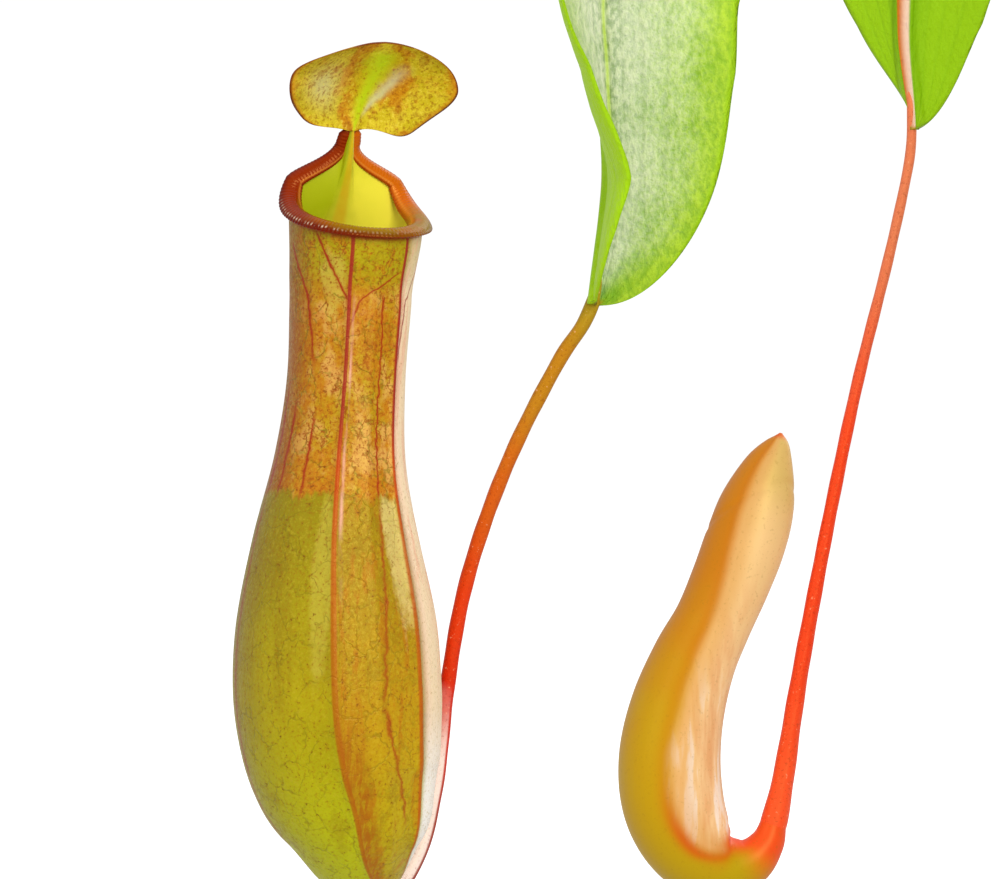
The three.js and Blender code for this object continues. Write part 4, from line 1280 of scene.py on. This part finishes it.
# %% Belly and waist
bands = cup_skin.noise(170, detail=4, stretch=(1, 1, 0.08))
golden = cup_skin.blend("#9c7c06", "#b88c08", climb.rise(0.6, 0.3) + mottle.rise(0.5, 0.7) * 0.4)
belly = cup_skin.layered(
    "#9a8804",
    ("#ab9c06", (cloud + grain * 0.35).rise(0.5, 0.85)),
    ("#857604", climb.rise(0.4, 0.6) * 0.75),
    ("#b6bc08", climb.rise(0.45, 0.12) * 0.9),
    (golden, panel * (0.75 + mottle * 0.4)),
    ("#b2a008", panel * climb.rise(0.42, 0.15) * 0.85),
    ("#8c7204", bands.rise(0.5, 0.64) * (1 - panel) * 0.5),
    ("#b05804", streak.rise(0.5, 0.62) * panel * 0.45),
    ("#8a6c04", mottle.rise(0.48, 0.36) * panel * 0.5),
)
blush = cup_skin.noise(150, detail=5, stretch=(1, 1, 0.6), rough=0.6)
crackle = cup_skin.net(300, stretch=(1, 1, 0.6), wobble=0.004).rise(0.07, 0.0) * cloud.rise(0.4, 0.55)
under_mouth = cup_skin.blend("#a49a06", "#b87c0a", mottle.rise(0.5, 0.62))
waist = cup_skin.layered(
    "#b8700c",
    ("#b08a0a", (mottle * 0.75 + cloud * 0.5).rise(0.52, 0.74)),
    ("#d8a052", (blush * 0.7 + mottle * 0.4).rise(0.53, 0.66) * climb.rise(0.92, 0.75) * 0.75),
    ("#a4480a", blush.rise(0.45, 0.34) * 0.45),
    (under_mouth, (climb + cloud * 0.1).rise(0.8, 0.95) * 0.85),
    ("#8c3406", crackle * mottle.rise(0.4, 0.55) * 0.85),
    ("#8f4c06", angle.rise(-0.9, -1.5) * angle.rise(-2.8, -2.2) * 0.6),
)
tone = cup_skin.blend(belly, waist, hip)
print("belly and waist:", len(cup_skin.tree.nodes), "nodes")

# %% [markdown]
# Two ragged pale patches beside the ribs, below the hip, are painted reflections, and a third pale patch
# lies on the left of the waist. The net and three kinds of fleck go over all of this. The right of the
# cup, beyond its rib, has a coat of its own: the skin's cream and white with pinkish streaks, under a
# painted highlight that is whitest towards the foot.

# %% Patches, flecks and the pale side
ragged = mottle * 0.9 + streak * 0.9 - 0.85


def patch(around, turn, half_turn, height, half_height):
    """1 on a ragged patch at a turn from the cup's front and a height share."""
    near = around.bell(turn, half_turn) * climb.bell(height, half_height)
    return (near + ragged).rise(0.3, 0.75)


slanted = angle + (climb - 0.6) * 0.8
# painted reflections: two pale patches beside the ribs, below the hip
reflection_below_left = patch(angle, turn=-0.58, half_turn=0.13, height=0.53, half_height=0.1) * (1 - hip)
above_left = patch(angle, turn=-0.74, half_turn=0.26, height=0.85, half_height=0.09)
reflection_below_right = patch(slanted, turn=0.29, half_turn=0.15, height=0.57, half_height=0.08) * (1 - hip)
# the skin's pale colour beyond the right rib, under a painted highlight that is whitest towards the foot
cream = cup_skin.layered(
    "#f6ddb8",
    ("#f8cdb6", from_right_rib.rise(0.3, 0.02)),
    ("#fffaf4", climb.rise(0.42, 0.22)),
    ("#d0b878", climb.rise(0.8, 0.95) * 0.6 + grain.rise(0.5, 0.65) * 0.4),
    ("#f0ac90", streak.rise(0.52, 0.62) * climb.rise(0.3, 0.6) * 0.55),
    ("#8a6a3a", grain.rise(0.6, 0.68) * 0.5),
)
tone = cup_skin.layered(
    tone,
    ("#bcae3c", reflection_below_left * (0.15 + mottle * 0.7)),
    ("#c4b048", above_left * (0.3 + mottle * 0.5)),
    ("#d6c274", reflection_below_right * (0.45 + mottle * 0.5)),
    ("#6a5a04", netting * (0.45 + hip * 0.25)),
    ("#9c4406", grain.rise(0.52, 0.6) * (0.3 + hip * 0.35)),
    ("#ccb02c", grain.rise(0.46, 0.38) * 0.25),
    ("#4a2404", grain.rise(0.61, 0.68) * 0.7),
    # the pale skin and painted highlight on the right of the cup, beyond its rib
    (cream, from_right_rib.rise(0.0, 0.2) * angle.rise(2.6, 1.6) * 0.92),
)
print("patches and flecks:", len(cup_skin.tree.nodes), "nodes")

# %% [markdown]
# Two ribs border the cup's front. They are crimson above the hip, and broad and orange below it, with
# an orange band inside the left one. On the waist a pink painted highlight runs along the lit side of
# both. A few red veins branch off them, and each is drawn where it runs, as a bell-shaped field round a
# line on the map.

# %% Ribs and veins
VEINS = [  # degrees from the front and height share, at both ends; half width in degrees
    (-58, 0.98, -27, 0.77, 1.6), (-92, 0.93, -58, 0.72, 1.6), (24, 0.88, -26, 0.75, 1.2),
    (8, 0.8, 9, 0.6, 1.0), (9, 0.6, 2, 0.4, 1.3), (2, 0.4, 13, 0.2, 1.3), (-94, 0.7, -97, 0.6, 2.0),
    (-76, 0.69, -80, 0.6, 1.6), (-52, 0.68, -55, 0.6, 1.4), (-97, 0.6, -104, 0.1, 2.2),
    (-120, 0.95, -140, 0.2, 2.0), (150, 0.95, 140, 0.2, 2.0), (96, 0.95, 90, 0.15, 2.0),
    (60, 0.9, 26, 0.7, 1.2), (118, 0.9, 95, 0.7, 1.4), (-160, 0.9, -142, 0.7, 1.4),
]


def vein_mask():
    """1 on the veins: the greatest of one bell for each."""
    shiver = cup_skin.noise(420, detail=4) * 0.13 - 0.065
    mask = None
    for from_turn, high, to_turn, low, half in VEINS:
        slope = (to_turn - from_turn) * RAD / (low - high)
        course = climb * slope + (from_turn * RAD - slope * high) + shiver
        one = (angle - course).bell(0, half * RAD)
        one = one * climb.rise(low - 0.01, low + 0.02) * climb.rise(high + 0.01, high - 0.02)
        mask = one if mask is None else mask.greatest(one)
    return mask


rib_tone = cup_skin.layered(
    "#a84c04",
    ("#b83008", climb.rise(0.4, 0.6).greatest(angle.rise(0, 0.1) * 0.8)),
    ("#960a1a", climb.rise(0.63, 0.68)),
)
on_rib = abs(abs(angle) - CUP["rib_angle"]).rise(0.04, 0.018)
fibre = cup_skin.noise(1100, detail=3, stretch=(1, 1, 0.1))
band = from_left_rib.rise(-0.03, 0.02) * from_left_rib.rise(0.36, 0.12) * climb.rise(0.46, 0.3)
# painted highlight: a pink line on the lit side of each rib, on the waist
lit_side_of_ribs = from_left_rib.bell(0.075, 0.022).greatest(from_right_rib.bell(0.075, 0.022))
rib_highlight = lit_side_of_ribs * climb.rise(0.82, 0.7) * climb.rise(0.5, 0.6) * streak.rise(0.35, 0.6)
tone = cup_skin.layered(
    tone,
    ("#981408", vein_mask() * (0.35 + mottle * 0.6 + hip * 0.35).limited()),
    (rib_tone, on_rib * (0.7 + climb.rise(0.55, 0.66) * 0.25)),
    ("#a25404", band * (0.4 + fibre.rise(0.4, 0.6) * 0.45)),
    ("#f4b4a4", rib_highlight * 0.75),
    ("#96140a", climb.rise(0.972, 0.99) * 0.9),
)
print("ribs and", len(VEINS), "veins:", len(cup_skin.tree.nodes), "nodes")

# %% [markdown]
# Inside, the cup is a plain waxy yellow-green with one orange streak down its back, and painted light
# makes its right side lighter.
# The bumps of the skin are left out there.

# %% Cup lining
back_streak = (abs(angle).rise(2.84, 3.06) * (0.2 + mottle)).limited()
lining = cup_skin.layered(
    "#a6b008",
    # painted light: the right side of the lining is lighter
    ("#ece03c", (cloud * 0.6 + angle.sine() * 0.25).rise(0.15, 0.5)),
    ("#dca010", back_streak * 0.7),
)
cup_skin.join("Base Color", cup_skin.blend(tone, lining, inside))
cup_skin.join("Roughness", 0.28 + grain.rise(0.3, 0.7) * 0.2 + cloud.rise(0.4, 0.7) * 0.1)
cup_skin.relief((grain * 0.4 + mottle * 0.8 - netting * 0.3) * outside, 0.0005, 0.4)
painted(cup_skin, *cups.values())

# %% [markdown]
# ## Rims
#
# The rim is the trap's slide. It is a broad band rolled outward and inward over the lip, and fine
# glossy ribs cross it from edge to edge. It follows the mouth's line and ends in two points at the
# neck. The ribs are real ripples in its skin, so they also catch the light on its edges.

# %% Rims
mouth_turns = np.linspace(-MOUTH["open"], MOUTH["open"], COURSE_STEPS)
mouth_course = Course(mouth_points(mouth_turns))


def rim_place(leaf):
    hang = cup_hanger(leaf)

    def place(turn, row):
        angle = turn * math.tau
        round_mouth = np.interp(row * mouth_course.length, mouth_course.run, mouth_turns)
        c = behind_front(round_mouth)
        narrow = ease(c, RIM["narrow_from"], RIM["narrow_to"])
        flat = ease(c, RIM["flat_from"], RIM["flat_to"])
        ending = np.sqrt(np.clip((1 - abs(2 * row - 1)) / RIM["point"], 0, 1))
        rib = np.cos(row * RIM["ribs"] * math.tau)
        sideways, through = RIM["ripple"]
        out = np.where(np.cos(angle) > 0, mix(*RIM["outward"], narrow), mix(*RIM["inward"], narrow))
        out = out * np.cos(angle) * (1 + sideways * rib * abs(np.cos(angle)))
        lift = mix(*RIM["half_thickness"], flat) * np.sin(angle) * (1 + through * rib)
        lift = lift - mix(*RIM["roll"], flat) * out**2
        outward, out_of_face, _ = mouth_axes(round_mouth)
        shift = outward * (out * ending)[:, None] + out_of_face * (lift * ending)[:, None]
        return hang(mouth_points(round_mouth) + shift)

    return place


rims = one_each(OPEN_LEAVES, "ribbed_rim", rim_place, "rim", "rim", columns=22, rows=1560)

# %% [markdown]
# The rim is the glossiest surface of the plant. It is olive at its front and orange-brown elsewhere,
# with its own red on the left deepened to wine red by painted shade and its orange on the right
# brightened by painted light. Its outer edge is darker, partly its own red and partly painted shade
# that fades on the lit right and at the front, and the lines between its ribs are darker too. Where the
# front rolls over, a row of pale painted highlights lies on the ribs.

# %% Rim finish
rim_gloss = Finish("rim_gloss", Roughness=0.22, Specular_IOR_Level=0.4, Specular_Tint=RED_SHEEN)
section_map, mouth_map = rim_gloss.map()
cloud = rim_gloss.noise(160, detail=4)
grain = rim_gloss.noise(1200, detail=3)
lines = ((mouth_map * (RIM["ribs"] * math.tau)).sine() * 0.5 + 0.5) ** 2
# painted shade and light: the left deepened to wine red, the right brightened to orange
red_and_shaded_left = (mouth_map + cloud * 0.1).rise(0.5, 0.34)
orange_and_lit_right = (mouth_map + cloud * 0.1).rise(0.68, 0.84)
front_share = mouth_map.bell(0.6, 0.12)
to_outer = abs(section_map * 2 - 1)
# painted shade: the dark outer edge fades on the lit right and at the front
away_from_light = (1 - orange_and_lit_right * 0.6 - front_share * 0.5).limited()
dark_edge_and_shade = (to_outer + cloud * 0.2).rise(0.72, 1.0) * away_from_light
front_roll = mouth_map.rise(0.2, 0.3) * mouth_map.rise(0.72, 0.6)
front_roll = front_roll * (mouth_map.rise(0.46, 0.4) * 0.75 + 0.25)
# painted highlights: pale glints on the ribs where the front rolls over
bead_highlights = (1 - lines).rise(0.6, 0.95) * section_map.bell(0.09, 0.022) * front_roll * grain.rise(0.4, 0.55)
tone = rim_gloss.layered(
    "#987606",
    ("#ac6408", cloud.rise(0.4, 0.65)),
    ("#861202", red_and_shaded_left * 0.92),
    ("#d0600a", orange_and_lit_right * 0.9),
    ("#640802", dark_edge_and_shade),
    ("#e08c34", to_outer.bell(0.26, 0.05) * 0.55),
    ("#7c1404", to_outer.bell(0.1, 0.07) * 0.6),
    ("#6c0c04", (lines * 0.14 + grain.rise(0.55, 0.7) * 0.2) * (1 - front_share * 0.5)),
    ("#860c04", section_map.rise(0.84, 0.93) * (0.8 - front_share * 0.35)),
    ("#fbe3c0", bead_highlights * 0.6),
)
rim_gloss.join("Base Color", tone)
painted(rim_gloss, *rims.values())

# %% [markdown]
# ## Lids
#
# The lid shelters the cup from rain. It is a thin round leaf on the neck, with two lobes that reach
# back beside its stalk and a keel down its middle. It leans forward over the mouth, so the light shows
# its freckled underside.

# %% Lids
LID = {
    "length": 18.6, "widest": 0.51, "stalk": 1.6, "arch": 2.2, "rise": -0.5, "lean": 60 * RAD,
    "back": 1.4, "thickness": 0.55, "foot_thickness": 0.4, "droop": (-4 * RAD, -34 * RAD), "sway": 3.4,
    "frill": 0.35, "keel": 0.9, "keel_half": 1.4,
}
LID_SIDES = {  # left and right
    "half": (16.2, 18.6), "late": (1.6, 1.35), "lobe": (3.2, 7.2), "power": (2.25, 1.7),
}


def lid_place(leaf):
    hang = cup_hanger(leaf)
    neck = MOUTH["lip"] + MOUTH["slope"] + MOUTH["neck_rise"] - RIM["seat"][0]
    behind = MOUTH["front"] - MOUTH["depth"] + MOUTH["lean"] - LID["back"]
    lean = LID["lean"]

    def place(turn, v):
        walk = 1 - abs(4 * turn - 2)
        lower = turn > 0.5
        u = abs(walk)
        half, late, lobe, power = (np.where(walk < 0, *pair) for pair in LID_SIDES.values())
        from_widest = abs(v**late / LID["widest"] - 1)
        width = LID["stalk"] + half * np.clip(1 - from_widest**power, 0, 1) ** (1 / power)
        first, last = LID["droop"]
        slope = first + (last - first) * u
        out = width * (np.sin(slope) - math.sin(first)) / (last - first)
        lift = width * (math.cos(first) - np.cos(slope)) / (last - first)
        run = v * LID["length"] + LID["rise"] - lobe * u**2 * (1 - v) ** 2 * ease(v, 0, 0.25)
        frill = LID["frill"] * u**3 * np.sin(v * 15 + walk * 3)
        keel = LID["keel"] * bell(u * width, LID["keel_half"]) * (1 - v)
        thin = LID["thickness"] + LID["foot_thickness"] * (1 - v)
        under = thin * np.sqrt(np.clip(1 - u**6, 0, 1)) + keel
        rise = lift + LID["arch"] * np.sin(v * math.pi) + frill - np.where(lower, under, 0)
        front = behind + run * math.cos(lean) - rise * math.sin(lean)
        up = neck + run * math.sin(lean) + rise * math.cos(lean)
        side = np.sign(walk) * out + LID["sway"] * v * (1 - u**2 * (1 - v**6))
        return hang(from_cup(np.stack([side, front, up], -1)))

    return place


lids = one_each(OPEN_LEAVES, "freckled_lid", lid_place, "lid", "lid", columns=120, rows=80)

# %% [markdown]
# The lid is yellow, clouded with orange and covered with red-brown freckles. A lime-green band widens
# along its middle, beside a pale painted highlight along a crease, and a dark red line edges it. A pale
# greyish painted sheen lies on its left lobe.

# %% Lid finish
lid_skin = Finish("lid_skin", Roughness=0.45, Specular_IOR_Level=0.35, Specular_Tint=WARM_SHEEN)
lid_across, lid_along = lid_skin.map()
walk = 1 - abs(lid_across * 4 - 2)
from_middle = abs(walk)
cloud = lid_skin.noise(150, detail=4)
freckle = lid_skin.noise(1300, detail=5, rough=0.75)
blotch = lid_skin.noise(380, detail=5, rough=0.6)
clouded = cloud * 0.7 + blotch * 0.4 + from_middle.bell(0.3, 0.2) * 0.16 + lid_along * 0.06
band = (walk - lid_along * 0.1 + blotch * 0.12 - 0.06).bell(0.0, 0.05 + lid_along * 0.2)
band = band * (lid_along + blotch * 0.2).rise(1.08, 0.9)
freckled_band = (band * (0.6 + blotch * 0.6) - freckle.rise(0.55, 0.65) * 0.4).limited()
# painted highlight: a pale line along the crease beside the band
ridge = (walk - lid_along * 0.35 + blotch * 0.12).bell(0.15, 0.03 + lid_along * 0.08)
ridge = ridge * lid_along.rise(0.1, 0.25) * lid_along.rise(0.8, 0.5)
edge = from_middle.rise(0.955, 0.985).greatest(lid_along.rise(0.985, 0.997))
tone = lid_skin.layered(
    "#c8b018",
    ("#dcc42c", blotch.rise(0.4, 0.6)),
    ("#c47606", clouded.rise(0.6, 0.74) * 0.85),
    # painted sheen: a pale greyish reflection on the left lobe
    ("#d2cc98", walk.bell(-0.55, 0.2) * lid_along.bell(0.5, 0.22) * 0.6),
    ("#946408", blotch.rise(0.54, 0.64) * 0.4),
    ("#8c4006", freckle.rise(0.5, 0.6) * 0.55),
    ("#ecd44c", freckle.rise(0.44, 0.36) * 0.5),
    ("#682404", freckle.rise(0.64, 0.7) * 0.7),
    ("#b8cc10", freckled_band),
    # the painted highlight along the crease
    ("#ccc898", ridge * 0.7),
    ("#cc7412", from_middle.rise(0.9, 0.96) * 0.5),
    ("#741a04", edge * 0.9),
)
lid_skin.join("Base Color", tone)
lid_skin.relief(freckle * 0.4 + blotch * 0.7, 0.0005, 0.5)
painted(lid_skin, *lids.values())

# %% [markdown]
# ## Young pitchers
#
# A young pitcher is shut. It turns up in a hook at the end of its tendril, swells and narrows to a
# pointed top, where the lid is still closed over the mouth. Two ribs border a flat pale front.

# %% Young pitchers
YOUNG = {
    "facing": 48 * RAD, "flatten": 0.9, "seam": 0.22,
    "rib_angle": 51.4 * RAD, "rib_spread": 26 * RAD, "rib_height": 0.25,
}
young_line = Line(YOUNG_LINE)


def young_place(leaf):
    hang = hanger(leaf)

    def place(turn, row):
        angle = (turn - 0.5) * math.tau
        closing = np.sqrt(np.clip(row / 0.015, 0, 1))
        t = np.clip((row - 0.01) / 0.99, 0, 1)
        centre = young_line.at(t)
        side, front = ring_axes(young_line, t, YOUNG["facing"])
        off_rib = abs(angle) - YOUNG["rib_angle"] - YOUNG["rib_spread"] * ease(t, 0.5, 0.85)
        rib = YOUNG["rib_height"] * (0.7 * bell(off_rib, 0.07) + 0.5 * bell(off_rib, 0.2))
        rib = rib * ease(t, 0.15, 0.3) * ease(t, 1, 0.9)
        seam = YOUNG["seam"] * bell(t - 0.8 - 0.06 * np.cos(angle), 0.006)
        radius = np.maximum(centre[:, 3], 0.05) * closing * mix(0.9, 1, ease(t, 0, 0.06))
        sideways = (radius * mix(1, YOUNG["flatten"], t) + rib - seam) * np.sin(angle)
        forward = (radius + rib - seam) * np.cos(angle)
        return hang(centre[:, :3] + side * sideways[:, None] + front * forward[:, None])

    return place


young = one_each(
    SHUT_LEAVES, "young_pitcher", young_place, "young_pitcher", "pitcher", columns=96, rows=200
)

# %% [markdown]
# A young pitcher's hook is red-orange, as its tendril is. Above it the front is pale, from cream to
# peach with orange streaks, and the rest is ochre, greener below. The rib between them is orange.
# Its height share counts the stations of its line, which lie closer together in the hook.

# %% Young finish
young_skin = Finish("young_skin", Roughness=0.4, Specular_IOR_Level=0.5, Specular_Tint=WARM_SHEEN)
turn_map, climb = young_skin.map()
angle = (turn_map - 0.5) * math.tau
cloud = young_skin.noise(60, detail=3)
streak = young_skin.noise(300, detail=4, stretch=(1, 1, 0.15))
grain = young_skin.noise(1300, detail=3)
to_rib = climb.rise(0.5, 0.85) * YOUNG["rib_spread"] + YOUNG["rib_angle"] - abs(angle)
front_share = (to_rib + cloud * 0.2 - 0.1).rise(-0.16, 0.2) * climb.rise(0.16, 0.26)
on_rib = to_rib.bell(-0.1, 0.16) * climb.rise(0.1, 0.3)
rib_tone = young_skin.blend("#d0700c", "#d84a08", climb.rise(0.42, 0.3))
inner = abs(angle).rise(1.7, 0.4)
panel = young_skin.layered(
    "#f8cf96",
    ("#f6cc8c", climb.rise(0.5, 0.72)),
    ("#fff6ea", streak.rise(0.5, 0.4) * climb.rise(0.6, 0.45) * 0.7),
    ("#ccb858", (climb + cloud * 0.1).rise(0.8, 0.92) * 0.85),
    ("#e8a468", streak.rise(0.45, 0.68) * climb.rise(0.8, 0.5) * 0.75),
    ("#d89848", to_rib.rise(0.7, 0.2) * 0.6),
    ("#e8a078", climb.rise(0.72, 0.9) * 0.3),
)
tone = young_skin.layered(
    "#c69a06",
    ("#cc7a0a", (climb + cloud * 0.2).rise(0.5, 0.8)),
    ("#b89c06", climb.rise(0.4, 0.15) * 0.9),
    (panel, front_share),
    (rib_tone, on_rib * (0.35 + climb.rise(0.45, 0.3) * 0.45)),
    ("#d84a08", inner * climb.rise(0.26, 0.18) * 0.85),
    ("#f4501c", (climb + cloud * 0.05 - inner * 0.08).rise(0.2, 0.1)),
    ("#e0501c", climb.rise(0.95, 0.99) * 0.8),
    ("#9a6a08", grain.rise(0.58, 0.7) * 0.2),
)
young_skin.join("Base Color", tone)
young_skin.relief(cloud * 0.5 + streak * 0.5, 0.0004, 0.4)
painted(young_skin, *young.values())
